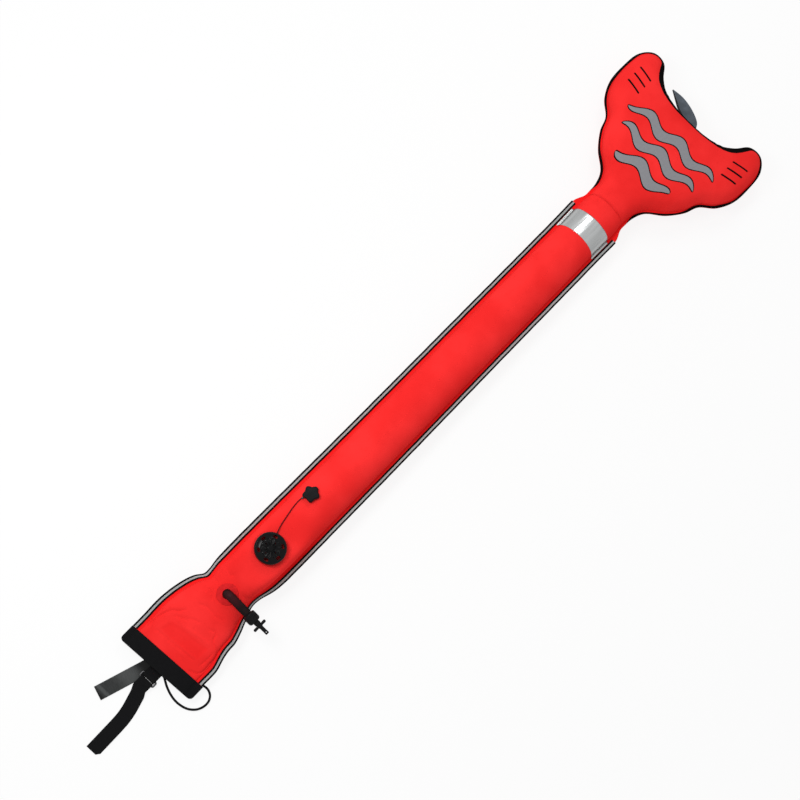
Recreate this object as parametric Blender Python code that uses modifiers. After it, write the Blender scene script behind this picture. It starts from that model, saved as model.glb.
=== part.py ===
"""Inflated surface marker buoy, built as separate pieces in metres.

The tube lies along X with its head at +X and its open mouth at -X. Z is up, the floor is at z = 0 and
the origin is on the floor under the middle of the bag. Lengths along the bag are first counted from
the hem's edge, and along_x turns such a length into a world X.
"""
import math

import bmesh
import bpy
import numpy as np
from mathutils import Matrix, Vector, geometry

MM = 0.001
NAME = "surface_marker_buoy"

# Fabric, welds and running gaps
FABRIC = 0.8 * MM
GAP = 0.3 * MM
HALF_GAP = GAP / 2.0
WELD_WIDTH = 6.5 * MM
TAPE_SIDE = 15.0 * MM
TAPE_WIDTH = 9.6 * MM
TAPE_WALL = 0.5 * MM
TAPE_FOLD = 1.7 * MM
TAPE_HALF_THICKNESS = HALF_GAP + FABRIC + GAP + TAPE_WALL
FABRIC_IN_TAPE = TAPE_SIDE - TAPE_FOLD - GAP

# Lengths along the bag, from the hem's edge
NECK = 1132.0 * MM
HEAD_LENGTH = 299.0 * MM
HALF_LENGTH = (NECK + HEAD_LENGTH) / 2.0
BAND_DEPTH = 28.0 * MM
TAPE_END = NECK - 31.0 * MM
SILVER_END = TAPE_END - 11.0 * MM
SILVER_WIDTH = 44.0 * MM
CROWN_FACETS = 13
CROWN_TOP = math.cos(math.pi / (2.0 * CROWN_FACETS))

# Side profile of the tube: distance from the hem, centre offset, half width between the welds,
# height of the underside over the floor, height of the crown over the welds, and flatness of the
# crown. The first table counts from the hem and the second from the neck, all in millimetres.
TUBE_PROFILE = (
    (0, 1.6, 61.5, 11.35, 3.7, 3.0),
    (30, 1.6, 61.5, 11.45, 3.9, 3.0),
    (60, 1.6, 61.2, 10.45, 6.8, 2.2),
    (85, 1.8, 60.0, 8.95, 10.6, 1.6),
    (101, 2.2, 57.8, 7.45, 14.0, 1.2),
    (117, 2.4, 55.0, 6.05, 17.4, 1.0),
    (134, 2.6, 50.0, 4.85, 20.8, 0.8),
    (150, 2.8, 43.8, 4.05, 23.5, 0.8),
    (167, 3.4, 38.0, 3.25, 25.8, 1.0),
    (183, 4.4, 35.8, 2.45, 28.0, 1.4),
    (200, 4.6, 37.6, 1.65, 31.2, 1.9),
    (216, 4.2, 39.3, 0.55, 33.9, 2.3),
    (238, 3.9, 40.3, 0.0, 35.5, 2.6),
    (290, 3.4, 40.6, 0.0, 35.5, 2.6),
    (350, 3.0, 40.4, 0.0, 35.5, 0.3),
    (520, 1.6, 40.1, 0.0, 35.5, 0.05),
)
NECK_PROFILE = (
    (-341, 0.8, 39.8, 0.0, 35.5, 0.05),
    (-86, 0.0, 40.0, 0.0, 35.5, 0.05),
    (-31, 0.0, 40.6, 0.6, 34.9, 0.4),
    (-16, 0.0, 40.2, 1.7, 33.8, 0.7),
    (0, 0.0, 38.2, 4.0, 31.5, 0.916),
)
# Half outline of the head, in millimetres from the neck and from the middle line, after its first
# point at the neck's weld and up to the middle of its leading edge
HEAD_OUTLINE = (
    (26, 46.5), (50, 57), (74, 86), (104, 108), (132, 119), (156, 144), (190, 160), (230, 163),
    (270, 159), (295, 139), (294, 112), (270, 92), (251, 66), (242, 34), (240, 0),
)
HEAD_STEP = 17.0 * MM
HEAD_SHOULDER = 4.5 * MM
HEAD_FULLNESS = 43.5 * MM
HEAD_LIFT = 8.0 * MM
HEAD_LIFT_LENGTH = 100.0 * MM

# Fin on the head's leading edge, with its tip from the neck and from the middle line
FIN_THICKNESS = 2.2 * MM
FIN_HALF_BASE = 23.0 * MM
FIN_TIP = (268.0, 66.0)
# Points of the fin's outer edge from the end of its base and of its inner edge from its tip
FIN_OUTER = ((14.0, 9.0), (25.0, 32.0), (30.0, 58.0))
FIN_INNER = ((-7.0, -17.0), (-16.0, -31.0))

# Hem, straps and ring
BAND_THICKNESS = 1.2 * MM
BAND_LIP = 1.5 * MM
BAND_OVERHANG = 2.2 * MM
WEBBING_WIDTH = 25.0 * MM
RING_WIRE = 1.7 * MM
RING_INNER_WIDTH = WEBBING_WIDTH + 1.0 * MM
RING_PITCH = 9.0 * MM
RING_CORNER = 2.5 * MM
RING_X = -17.0 * MM
TAB_THICKNESS = 1.4 * MM
TAB_REACH = 14.0 * MM
TAB_BEND = 9.0 * MM
STRAP_THICKNESS = 1.5 * MM
STRAP_LAP = 15.0 * MM
LOOP_THICKNESS = 0.9 * MM
LOOP_TURN = -18.0
# The tail strap's turns about Z, as degrees, the distance where each starts and its length
TAIL_TURNS = ((12.0, -40.0 * MM, 40.0 * MM), (-9.0, -85.0 * MM, 35.0 * MM))
# Middle lines of the two straps as distance from the hem, y and height, in millimetres
TAIL_ROUTE = (
    (-50, -1.5, 3.4), (-62, -5.5, 1.3), (-76, -9.5, 1.1), (-92, -13.0, 1.1), (-108, -15.0, 1.6),
    (-122, -16.0, 3.0), (-136, -16.6, 2.4), (-150, -17.0, 1.1), (-164, -17.3, 1.1),
)
LOOP_ROUTE = (
    (13, 8.0, 5.6), (6, 10.4, 5.5), (0, 12.3, 4.6), (-6, 14.3, 3.1), (-12, 16.2, 1.85), (-20, 18.8, 1.55),
    (-40, 25.3, 1.55), (-60, 31.8, 1.55), (-80, 38.3, 1.55), (-92, 42.2, 1.55),
)
BUNGEE_RADIUS = 2.0 * MM
CRIMP_SIZE = (13.0, 6.4, 4.8)
CRIMP_PLACE = (2.2, -9.6)

# Duckbill sheets inside the mouth
BAFFLE_START = 34.0 * MM
BAFFLE_END = 148.0 * MM
BAFFLE_INSET = 1.2 * MM
BAFFLE_THICKNESS = 0.5 * MM

# Dump valve
VALVE_X = 262.0 * MM
VALVE_Y = 6.5 * MM
VALVE_NECK_RADIUS = 23.1 * MM
VALVE_CAP_RADIUS = VALVE_NECK_RADIUS + 3.9 * MM
VALVE_BORE_RADIUS = VALVE_NECK_RADIUS - 3.1 * MM
VALVE_FLANGE_RADIUS = VALVE_NECK_RADIUS + 4.9 * MM
VALVE_SEAT_RADIUS = 11.0 * MM
VALVE_STEM_RADIUS = 2.0 * MM
VALVE_RUNNING = 0.4 * MM
VALVE_DISC_RADIUS = VALVE_SEAT_RADIUS + 3.5 * MM
VALVE_SEAL_RADIUS = VALVE_SEAT_RADIUS + 3.0 * MM
VALVE_WALL = 1.5 * MM
# Heights in the dump valve over the fabric's outer face
VALVE_NECK_TOP = 4.6 * MM
VALVE_FLANGE_TOP = -3.4 * MM
VALVE_WEB_LOW = 0.1 * MM
VALVE_WEB_HIGH = VALVE_WEB_LOW + VALVE_WALL
VALVE_SEAT_TOP = VALVE_WEB_HIGH + 1.5 * MM
SEAL_THICKNESS = 1.0 * MM
SEAL_LOW = VALVE_SEAT_TOP + GAP
POPPET_THICKNESS = 1.4 * MM
POPPET_LOW = SEAL_LOW + SEAL_THICKNESS + GAP
POPPET_TOP = POPPET_LOW + POPPET_THICKNESS
POPPET_BOSS_RADIUS = 3.0 * MM
POPPET_BOSS_HEIGHT = 2.0 * MM
POPPET_STEM_END = VALVE_WEB_LOW - 2.5 * MM
GASKET_TOP = 1.7 * MM
CAP_LOW = GASKET_TOP + GAP
CAP_HEIGHT = 15.0 * MM
CAP_WALL = 2.1 * MM
CAP_UNDER = CAP_HEIGHT - CAP_WALL
CAP_SHOULDER = 2.2 * MM
SPRING_CLEARANCE = 0.35 * MM
DUMP_SPRING_RADIUS = 5.0 * MM
DUMP_SPRING_WIRE = 0.45 * MM
WINDOW_COUNT = 6
WINDOW_FIRST = 22.0
WINDOW_RADIUS = VALVE_CAP_RADIUS - 6.8 * MM
WINDOW_WIDTH = 3.6 * MM
WINDOW_LENGTH = 7.5 * MM
CORD_RADIUS = 0.9 * MM
FERRULE_RADIUS = 1.8 * MM
FERRULE_LENGTH = 2.4 * MM
KNOB_RADIUS = 11.5 * MM
KNOB_THICKNESS = 8.0 * MM
KNOB_X = 373.0 * MM
KNOB_Y = 21.8 * MM
KNOB_STANDOFF = 4.8 * MM
KNOB_TILT = 22.0

# Inflator, with distances along its axis counted from the bag's centre line towards -Y
INFLATOR_X = 162.5 * MM
INFLATOR_Y = 4.5 * MM
INFLATOR_STANDOFF = 2.2 * MM
ELBOW_RISE = 7.0 * MM
ELBOW_BEND = 8.0 * MM
HOSE_RADIUS = 7.5 * MM
HOSE_BORE = HOSE_RADIUS - 2.5 * MM
HOSE_FOOT = 9.0 * MM
HOSE_END = 41.8 * MM
PATCH_RADIUS = HOSE_RADIUS + 10.5 * MM
BASE_RING_RADIUS = HOSE_RADIUS + 6.5 * MM
COLLAR_RADIUS = HOSE_RADIUS + 3.5 * MM
COLLAR_START = HOSE_END + 0.8 * MM
COLLAR_LENGTH = 17.9 * MM
COLLAR_END = COLLAR_START + COLLAR_LENGTH
STEM_NECK_RADIUS = HOSE_RADIUS - 2.1 * MM
STEM_START = HOSE_END + 7.0 * MM
NOZZLE_RADIUS = 3.3 * MM
NOZZLE_BORE = 1.7 * MM
NOZZLE_END = COLLAR_END + 27.5 * MM
CROSSBAR_AT = COLLAR_END + 9.0 * MM
CROSSBAR_LENGTH = 26.0 * MM
CROSSBAR_RADIUS = 2.2 * MM
SPIGOT_RADIUS = HOSE_BORE - 2.0 * GAP
SPIGOT_BORE = SPIGOT_RADIUS - 0.6 * MM
WASHER_RADIUS = SPIGOT_BORE - VALVE_RUNNING
WASHER_THICKNESS = 0.7 * MM
WASHER_HOLE = 1.3 * MM
SEAT_HOLE = WASHER_RADIUS - 0.8 * MM
GAS_HOLE = WASHER_RADIUS - 1.2 * MM
INFLATOR_SPRING_RADIUS = WASHER_RADIUS - 0.7 * MM
INFLATOR_SPRING_WIRE = 0.35 * MM

RED = (0.86, 0.025, 0.022)
BLACK = (0.012, 0.012, 0.012)
GREY = (0.33, 0.33, 0.34)
SILVER = (0.55, 0.57, 0.58)
STEEL = (0.6, 0.6, 0.6)


def along_x(distance):
    return distance - HALF_LENGTH


def clear_scene():
    for item in list(bpy.data.objects):
        bpy.data.objects.remove(item, do_unlink=True)


def make_collection(name):
    collection = bpy.data.collections.new(name)
    bpy.context.scene.collection.children.link(collection)
    return collection


def make_material(name, color, roughness, metallic=0.0):
    material = bpy.data.materials.new(name)
    material.use_nodes = True
    shader = material.node_tree.nodes["Principled BSDF"]
    shader.inputs["Base Color"].default_value = (*color, 1.0)
    shader.inputs["Roughness"].default_value = roughness
    shader.inputs["Metallic"].default_value = metallic
    return material


def add_object(name, data, material, collection=None):
    item = bpy.data.objects.new(name, data)
    (collection or PARTS).objects.link(item)
    if material is not None:
        data.materials.append(material)
    return item


def add_bmesh(name, mesh_data, material, collection=None, smooth=35.0):
    mesh = bpy.data.meshes.new(name)
    mesh_data.to_mesh(mesh)
    mesh_data.free()
    mesh.shade_smooth()
    mesh.set_sharp_from_angle(angle=math.radians(smooth))
    return add_object(name, mesh, material, collection)


def add_solidify(item, thickness):
    wall = item.modifiers.new("wall", "SOLIDIFY")
    wall.thickness = thickness
    wall.offset = 1.0
    wall.use_even_offset = True
    wall.use_quality_normals = True


def cut(item, cutter, operation="DIFFERENCE"):
    boolean = item.modifiers.new(cutter.name, "BOOLEAN")
    boolean.operation = operation
    boolean.object = cutter
    if cutter.name not in CUTTERS.objects:
        for owner in list(cutter.users_collection):
            owner.objects.unlink(cutter)
        CUTTERS.objects.link(cutter)
    cutter.hide_render = True
    cutter.display_type = "WIRE"


def face_along(mesh_data, direction):
    """Turn an open surface over if its faces point against the direction."""
    total = Vector((0.0, 0.0, 0.0))
    for face in mesh_data.faces:
        total += face.normal * face.calc_area()
    if total.dot(Vector(direction)) < 0.0:
        bmesh.ops.reverse_faces(mesh_data, faces=mesh_data.faces[:])


def smooth_value(keys, values, at):
    """Cubic Hermite value through the keys, level at its ends, peaks and flats."""
    at = min(max(at, keys[0]), keys[-1])
    index = int(np.searchsorted(keys, at, side="right")) - 1
    index = min(index, len(keys) - 2)
    slopes = []
    for key in (index, index + 1):
        inner = 0 < key < len(keys) - 1
        if inner and (values[key + 1] - values[key]) * (values[key] - values[key - 1]) > 0.0:
            slopes.append((values[key + 1] - values[key - 1]) / (keys[key + 1] - keys[key - 1]))
        else:
            slopes.append(0.0)
    span = keys[index + 1] - keys[index]
    part = (at - keys[index]) / span
    rise = values[index + 1] - values[index]
    cubic = part * part * (3.0 - 2.0 * part)
    start = part * (1.0 - part) ** 2 * span * slopes[0]
    end = part * part * (part - 1.0) * span * slopes[1]
    return values[index] + rise * cubic + start + end


PROFILE = np.array(TUBE_PROFILE + tuple((NECK / MM + row[0], *row[1:]) for row in NECK_PROFILE)) * MM
PROFILE[:, 5] /= MM
PROFILE[:, 3] += PROFILE[:, 4] + HALF_GAP + FABRIC


def station(distance):
    """Centre, half width, weld plane, crown height and flatness of the tube at a distance."""
    keys = PROFILE[:, 0]
    return [smooth_value(keys, PROFILE[:, column], distance) for column in range(1, 6)]


def crown_height(distance, y):
    """Height of the fabric's inner face over the weld plane."""
    centre, half, _, crown, flatness = station(distance)
    across = min(abs(y - centre) / half, 1.0)
    root = min(math.sqrt(1.0 - across * across) / CROWN_TOP, 1.0)
    return HALF_GAP + crown * math.tanh(flatness * root) / math.tanh(flatness)


def fabric_z(distance, y, side=1.0, lift=0.0):
    """World height over one panel's inner face; lift counts away from the bag's middle."""
    return station(distance)[2] + side * (crown_height(distance, y) + lift)


def faceted_z(distance, y, lift):
    """World height over the front panel's inner face, on its facets."""
    stations = tube_stations()
    index = max(k for k in range(len(stations) - 1) if stations[k] <= distance)
    ends = []
    for at in (stations[index], stations[index + 1]):
        line = crown_line(at)
        ends.append(np.interp(y, line, [fabric_z(at, point) for point in line]))
    return float(np.interp(distance, stations[index:index + 2], ends)) + lift


def crown_line(distance):
    """Y of the crown's points across the tube, from one weld to the other."""
    centre, half = station(distance)[:2]
    angles = [math.pi * k / CROWN_FACETS for k in range(CROWN_FACETS + 1)]
    return [centre - half * math.cos(angle) for angle in angles]


def fabric_edge(distance):
    """Width of the flat fabric outside the weld line."""
    return FABRIC_IN_TAPE if distance < TAPE_END else WELD_WIDTH


def tube_stations():
    """Distances of the panels' cross sections, close where the bag's width changes."""
    shaped = [k * 15.0 * MM for k in range(17)] + [k * MM for k in (265, 290, 320, 350, 430, 520)]
    straight = np.linspace(shaped[-1], SILVER_END - SILVER_WIDTH, 5)[1:]
    neck = [TAPE_END - 26.0 * MM, TAPE_END - 0.5 * MM, TAPE_END + 0.5 * MM, (TAPE_END + NECK) / 2.0, NECK]
    return shaped + [float(value) for value in straight] + neck


def head_lift(distance):
    part = min(max((distance - NECK) / HEAD_LIFT_LENGTH, 0.0), 1.0)
    return HEAD_LIFT * part * part * (3.0 - 2.0 * part)


def curve_through(points, step):
    """Evenly spaced points on a smooth curve through the given points."""
    dense = []
    ends = [points[0] * 2 - points[1]] + list(points) + [points[-1] * 2 - points[-2]]
    for before, start, end, after in zip(ends, ends[1:], ends[2:], ends[3:]):
        for k in range(12):
            t = k / 12.0
            squared = 2 * before - 5 * start + 4 * end - after
            cubed = 3 * start - before - 3 * end + after
            dense.append(0.5 * (2 * start + (end - before) * t + squared * t ** 2 + cubed * t ** 3))
    dense.append(points[-1])
    lengths = np.cumsum([0.0] + [(b - a).length for a, b in zip(dense, dense[1:])])
    count = max(2, round(lengths[-1] / step))
    result = []
    for target in np.linspace(0.0, lengths[-1], count + 1):
        index = min(int(np.searchsorted(lengths, target, side="right")) - 1, len(dense) - 2)
        part = (target - lengths[index]) / (lengths[index + 1] - lengths[index])
        result.append(dense[index].lerp(dense[index + 1], part))
    return result


def head_edge():
    """Outline of the head from the neck's +Y end round to its -Y end, with distances from the hem."""
    start = Vector((NECK, station(NECK)[1] + WELD_WIDTH))
    half = curve_through([start] + [Vector((NECK + x * MM, y * MM)) for x, y in HEAD_OUTLINE], HEAD_STEP)
    return half + [Vector((point.x, -point.y)) for point in reversed(half[:-1])]


def inset_line(line, width):
    """The line moved inwards, keeping its ends on the neck."""
    result = []
    for index, point in enumerate(line):
        before = line[max(index - 1, 0)]
        after = line[min(index + 1, len(line) - 1)]
        along = (after - before).normalized()
        result.append(point + Vector((along.y, -along.x)) * width)
    result[0] = Vector((NECK, line[0].y - width))
    result[-1] = Vector((NECK, line[-1].y + width))
    return result


def inside(point, polygon):
    hit = False
    for a, b in zip(polygon, polygon[1:] + polygon[:1]):
        if (a.y > point.y) != (b.y > point.y):
            if point.x < (b.x - a.x) * (point.y - a.y) / (b.y - a.y) + a.x:
                hit = not hit
    return hit


def line_distance(point, line):
    best = 1.0
    for a, b in zip(line, line[1:]):
        nearest, part = geometry.intersect_point_line(point, a, b)
        nearest = a.lerp(b, min(max(part, 0.0), 1.0))
        best = min(best, (point - nearest).length)
    return best


def head_mesh(seam):
    """Flat triangles of the head with the fullness of an inflated bag at each corner."""
    outer = head_edge()
    weld = inset_line(outer, WELD_WIDTH)
    points = []
    edges = []

    def add_line(line, linked=True):
        first = len(points)
        points.extend(line)
        if linked:
            edges.extend((first + k, first + k + 1) for k in range(len(line) - 1))
        return first

    seam_points = [Vector((NECK, y)) for y in seam]
    add_line([outer[0]] + list(reversed(seam_points)) + [outer[-1]])
    last_seam = len(points) - 1
    first_outer = add_line(outer[1:-1])
    edges.append((0, first_outer))
    edges.append((len(points) - 1, last_seam))
    first_weld = add_line(weld[1:-1])
    edges.append((1, first_weld))
    edges.append((len(points) - 1, last_seam - 1))
    area = [seam_points[-1]] + weld[1:-1] + [seam_points[0]]
    near = inset_line(outer, WELD_WIDTH + HEAD_SHOULDER)
    for point in near[1:-1]:
        if inside(point, area) and line_distance(point, area) > 0.8 * HEAD_SHOULDER:
            points.append(point)
    row_step = HEAD_STEP * math.cos(math.radians(30.0))
    widest = max(point.y for point in outer)
    rows = int(HEAD_LENGTH / row_step) + 2
    columns = int(widest / HEAD_STEP) + 2
    for row in range(rows):
        for column in range(-columns, columns + 1):
            x = NECK + row_step * (row + 0.8)
            point = Vector((x, HEAD_STEP * (column + 0.5 * (row % 2))))
            if inside(point, area) and line_distance(point, near + [near[0]]) > 0.55 * HEAD_STEP:
                points.append(point)
    corners, _, faces, _, _, _ = geometry.delaunay_2d_cdt(points, edges, [], 1, 1e-6)
    faces = [face for face in faces if len(face) == 3]
    heights = fullness(corners, faces, area)
    return corners, faces, heights


def fullness(corners, faces, area):
    """Solve a membrane under even pressure, fixed along the weld and matched to the tube's neck."""
    count = len(corners)
    stiffness = np.zeros((count, count))
    load = np.zeros(count)
    free = np.zeros(count, dtype=bool)
    for face in faces:
        middle = (corners[face[0]] + corners[face[1]] + corners[face[2]]) / 3.0
        if not inside(middle, area):
            continue
        grid = np.array([[1.0, corners[k].x, corners[k].y] for k in face])
        size = abs(np.linalg.det(grid)) / 2.0
        slopes = np.linalg.inv(grid)[1:, :]
        stiffness[np.ix_(face, face)] += size * slopes.T @ slopes
        load[list(face)] += size / 3.0
        free[list(face)] = True
    centre, half = station(NECK)[:2]
    value = np.zeros(count)
    for index, corner in enumerate(corners):
        if abs(corner.x - NECK) < 0.01 * MM:
            free[index] = False
            value[index] = max(half ** 2 - (corner.y - centre) ** 2, 0.0) / 2.0
        elif free[index] and line_distance(corner, area) < 0.05 * MM:
            free[index] = False
    known = ~free
    matrix = stiffness[np.ix_(free, free)]
    right = load[free] - stiffness[np.ix_(free, known)] @ value[known]
    value[free] = np.linalg.solve(matrix, right)
    length = half / station(NECK)[4]
    return [HEAD_FULLNESS * math.tanh(math.sqrt(2.0 * max(v, 0.0)) / length) for v in value]


def panel(name, side, head):
    """One coated-fabric panel: the tube from the mouth to the neck, and the head."""
    mesh = bmesh.new()
    rows = []
    for distance in tube_stations():
        centre, half, plane = station(distance)[:3]
        edge = half + fabric_edge(distance)
        ys = [centre - edge] + crown_line(distance) + [centre + edge]
        row = []
        for y in ys:
            z = plane + side * crown_height(distance, y)
            row.append(mesh.verts.new((along_x(distance), y, z)))
        rows.append(row)
    for row, following in zip(rows, rows[1:]):
        for k in range(len(row) - 1):
            mesh.faces.new((row[k], row[k + 1], following[k + 1], following[k]))
    corners, faces, heights = head
    plane = station(NECK)[2]
    added = []
    for corner, height in zip(corners, heights):
        z = plane + head_lift(corner.x) + side * (HALF_GAP + height)
        added.append(mesh.verts.new((along_x(corner.x), corner.y, z)))
    for face in faces:
        mesh.faces.new([added[k] for k in face])
    bmesh.ops.remove_doubles(mesh, verts=mesh.verts[:], dist=0.05 * MM)
    bmesh.ops.recalc_face_normals(mesh, faces=mesh.faces[:])
    face_along(mesh, (0.0, 0.0, side))
    item = add_bmesh(name, mesh, RED_FABRIC, smooth=50.0)
    add_solidify(item, FABRIC)
    return item


def loft(name, rings, material, smooth=35.0):
    """Closed solid through rings of equal counts, capped at both ends."""
    mesh = bmesh.new()
    rows = [[mesh.verts.new(point) for point in ring] for ring in rings]
    for row, following in zip(rows, rows[1:]):
        for k in range(len(row)):
            after = (k + 1) % len(row)
            mesh.faces.new((row[k], row[after], following[after], following[k]))
    mesh.faces.new(rows[0])
    mesh.faces.new(rows[-1])
    bmesh.ops.recalc_face_normals(mesh, faces=mesh.faces[:])
    return add_bmesh(name, mesh, material, smooth=smooth)


def sheet(name, rows, direction, thickness, material):
    """Thin sheet on a grid of points, thickened along the direction."""
    mesh = bmesh.new()
    grid = [[mesh.verts.new(point) for point in row] for row in rows]
    for row, following in zip(grid, grid[1:]):
        for k in range(len(row) - 1):
            mesh.faces.new((row[k], row[k + 1], following[k + 1], following[k]))
    bmesh.ops.recalc_face_normals(mesh, faces=mesh.faces[:])
    face_along(mesh, direction)
    item = add_bmesh(name, mesh, material, smooth=50.0)
    add_solidify(item, thickness)
    return item


def edge_trim(name, side):
    """Tape folded round the weld from the hem's band to the tape's end."""
    outer = TAPE_HALF_THICKNESS
    inner = outer - TAPE_WALL
    round_off = 0.5 * MM
    profile = (
        (-TAPE_WIDTH, outer), (-round_off, outer), (0.0, outer - round_off), (0.0, round_off - outer),
        (-round_off, -outer), (-TAPE_WIDTH, -outer), (-TAPE_WIDTH, -inner), (-TAPE_FOLD, -inner),
        (-TAPE_FOLD, inner), (-TAPE_WIDTH, inner),
    )
    stations = [BAND_DEPTH + GAP]
    stations += [d for d in tube_stations() if BAND_DEPTH + 1.0 * MM < d < TAPE_END - 1.0 * MM]
    stations.append(TAPE_END)
    rings = []
    for distance in stations:
        centre, half, plane = station(distance)[:3]
        fold = half + TAPE_SIDE
        rings.append([(along_x(distance), centre + side * (fold + n), plane + z) for n, z in profile])
    return loft(name, rings, TAPE)


def section_line(distance, lift, reach):
    """Points (y, height) of one panel's section, moved out from its inner face by an even lift."""
    centre, half = station(distance)[:2]
    ys = [centre - half - reach] + crown_line(distance) + [centre + half + reach]
    line = [Vector((y, crown_height(distance, y))) for y in ys]
    normals = []
    for start, end in zip(line, line[1:]):
        along = (end - start).normalized()
        normals.append(Vector((-along.y, along.x)))
    moved = []
    for index, point in enumerate(line):
        before = normals[max(index - 1, 0)]
        after = normals[min(index, len(normals) - 1)]
        mitre = (before + after).normalized()
        moved.append(point + mitre * (lift / mitre.dot(after)))
    return moved


def hem_band(name, side):
    """Binding over one panel's edge at the mouth, with a lip round the fabric's end."""
    centre, half = station(0.0)[:2]
    inner_lift = FABRIC + GAP
    outer_lift = inner_lift + BAND_THICKNESS
    reach = FABRIC_IN_TAPE + GAP
    between = [distance for distance in tube_stations() if 0.0 < distance < BAND_DEPTH]
    outer = [(-BAND_LIP, 0.0)] + [(distance, distance) for distance in [0.0] + between + [BAND_DEPTH]]
    inner = [(distance, distance) for distance in [BAND_DEPTH] + between[::-1]] + [(-GAP, 0.0)]
    lines = [(x, at, outer_lift) for x, at in outer] + [(x, at, inner_lift) for x, at in inner]
    lines += [(-GAP, 0.0, 0.0), (-BAND_LIP, 0.0, 0.0)]
    sections = [section_line(at, lift, reach) for _, at, lift in lines]
    rings = []
    for k in range(len(sections[0])):
        ring = []
        for (x, at, _), section in zip(lines, sections):
            ring.append((along_x(x), section[k].x, station(at)[2] + side * section[k].y))
        rings.append(ring)
    edge = half + reach
    thin = 0.02 * MM
    for beyond in (edge + GAP, edge + BAND_OVERHANG):
        ring = []
        for x, at, lift in lines:
            height = HALF_GAP + (outer_lift if lift == outer_lift else 0.0)
            if lift == inner_lift:
                height += thin
            ring.append((along_x(x), beyond, station(at)[2] + side * height))
        rings.insert(0, [(x, centre - y, z) for x, y, z in ring])
        rings.append([(x, centre + y, z) for x, y, z in ring])
    return loft(name, rings, BLACK_WEBBING)


def baffle(name, side):
    """Duckbill sheet inside the mouth, sloping from its panel to the middle of the bag."""
    rows = []
    for step in range(9):
        part = step / 8.0
        distance = BAFFLE_START + (BAFFLE_END - BAFFLE_START) * part
        centre, half = station(distance)[:2]
        width = half * (0.82 - 0.2 * part)
        row = []
        for k in range(11):
            y = centre + width * (k / 5.0 - 1.0)
            room = crown_height(distance, y) - BAFFLE_INSET
            height = HALF_GAP + max(room - HALF_GAP, 0.0) * (1.0 - part) ** 0.8
            row.append((along_x(distance), y, station(distance)[2] + side * height))
        rows.append(row)
    return sheet(name, rows, (0.0, 0.0, side), BAFFLE_THICKNESS, BAFFLE_FILM)


def reflective_band():
    """Silver band over the front panel between the tapes."""
    reach = TAPE_SIDE - TAPE_WIDTH - 0.8 * MM
    rows = []
    for step in range(4):
        distance = SILVER_END + SILVER_WIDTH * (step / 3.0 - 1.0)
        plane = station(distance)[2]
        line = section_line(distance, FABRIC + GAP, reach)
        rows.append([(along_x(distance), point.x, plane + point.y) for point in line])
    return sheet("reflective_band", rows, (0.0, 0.0, 1.0), 0.3 * MM, SILVER_BAND)


def head_fin():
    """Flat swept fin against the head's leading edge."""
    front = NECK + (HEAD_OUTLINE[-1][0] - 12.0) * MM
    edge = [p for p in head_edge() if p.x > front and abs(p.y) < FIN_HALF_BASE]
    base = [Vector((along_x(p.x) + 2.0 * GAP, p.y)) for p in reversed(edge)]
    tip = Vector((along_x(NECK + FIN_TIP[0] * MM), FIN_TIP[1] * MM))
    outer = [base[0]] + [base[0] + Vector(point) * MM for point in FIN_OUTER] + [tip]
    inner = [tip] + [tip + Vector(point) * MM for point in FIN_INNER] + [base[-1]]
    line = curve_through(outer, 7.0 * MM) + curve_through(inner, 7.0 * MM)[1:]
    line += list(reversed(base))[1:-1]
    plane = station(NECK)[2] + HEAD_LIFT
    item = flat_outline("head_fin", [line], FIN_THICKNESS, FIN_GREY)
    item.location = (0.0, 0.0, plane)
    return item


def flat_outline(name, outlines, thickness, material):
    """Flat plate from closed outlines in XY, centred on its own plane; holes are further outlines."""
    curve = bpy.data.curves.new(name, "CURVE")
    curve.dimensions = "2D"
    curve.fill_mode = "BOTH"
    curve.extrude = thickness / 2.0
    for outline in outlines:
        spline = curve.splines.new("POLY")
        spline.points.add(len(outline) - 1)
        for target, point in zip(spline.points, outline):
            target.co = (point[0], point[1], 0.0, 1.0)
        spline.use_cyclic_u = True
    return add_object(name, curve, material)


def to_mesh_object(item):
    """Make a curve object a mesh with welded caps, under the same name."""
    name = item.name
    bpy.context.view_layer.update()
    evaluated = item.evaluated_get(bpy.context.evaluated_depsgraph_get())
    mesh = bpy.data.meshes.new_from_object(evaluated)
    matrix = item.matrix_world.copy()
    material = item.data.materials[0] if item.data.materials else None
    bpy.data.objects.remove(item, do_unlink=True)
    data = bmesh.new()
    data.from_mesh(mesh)
    bmesh.ops.remove_doubles(data, verts=data.verts[:], dist=0.01 * MM)
    bmesh.ops.recalc_face_normals(data, faces=data.faces[:])
    data.to_mesh(mesh)
    data.free()
    mesh.materials.clear()
    result = add_object(name, mesh, material)
    result.matrix_world = matrix
    return result


def tube(name, points, radius, material, resolution=2, cyclic=False):
    curve = bpy.data.curves.new(name, "CURVE")
    curve.dimensions = "3D"
    curve.bevel_depth = radius
    curve.bevel_resolution = resolution
    curve.use_fill_caps = not cyclic
    spline = curve.splines.new("POLY")
    spline.points.add(len(points) - 1)
    for target, point in zip(spline.points, points):
        target.co = (*point, 1.0)
    spline.use_cyclic_u = cyclic
    return add_object(name, curve, material)


def turned(name, profile, material, place, tilt=0.0, steps=24):
    """Solid of revolution from a closed profile of (radius, height), outer side first and going down."""
    mesh = bpy.data.meshes.new(name)
    corners = [(radius, 0.0, height) for radius, height in profile]
    links = [(k, (k + 1) % len(corners)) for k in range(len(corners))]
    if profile[0][0] == 0.0 and profile[-1][0] == 0.0:
        links.pop()
    mesh.from_pydata(corners, links, [])
    item = add_object(name, mesh, material)
    item.location = place
    item.rotation_euler = (math.radians(tilt), 0.0, 0.0)
    screw = item.modifiers.new("turn", "SCREW")
    screw.steps = steps
    screw.render_steps = steps
    screw.use_merge_vertices = True
    screw.merge_threshold = 0.00005
    return item


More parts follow.
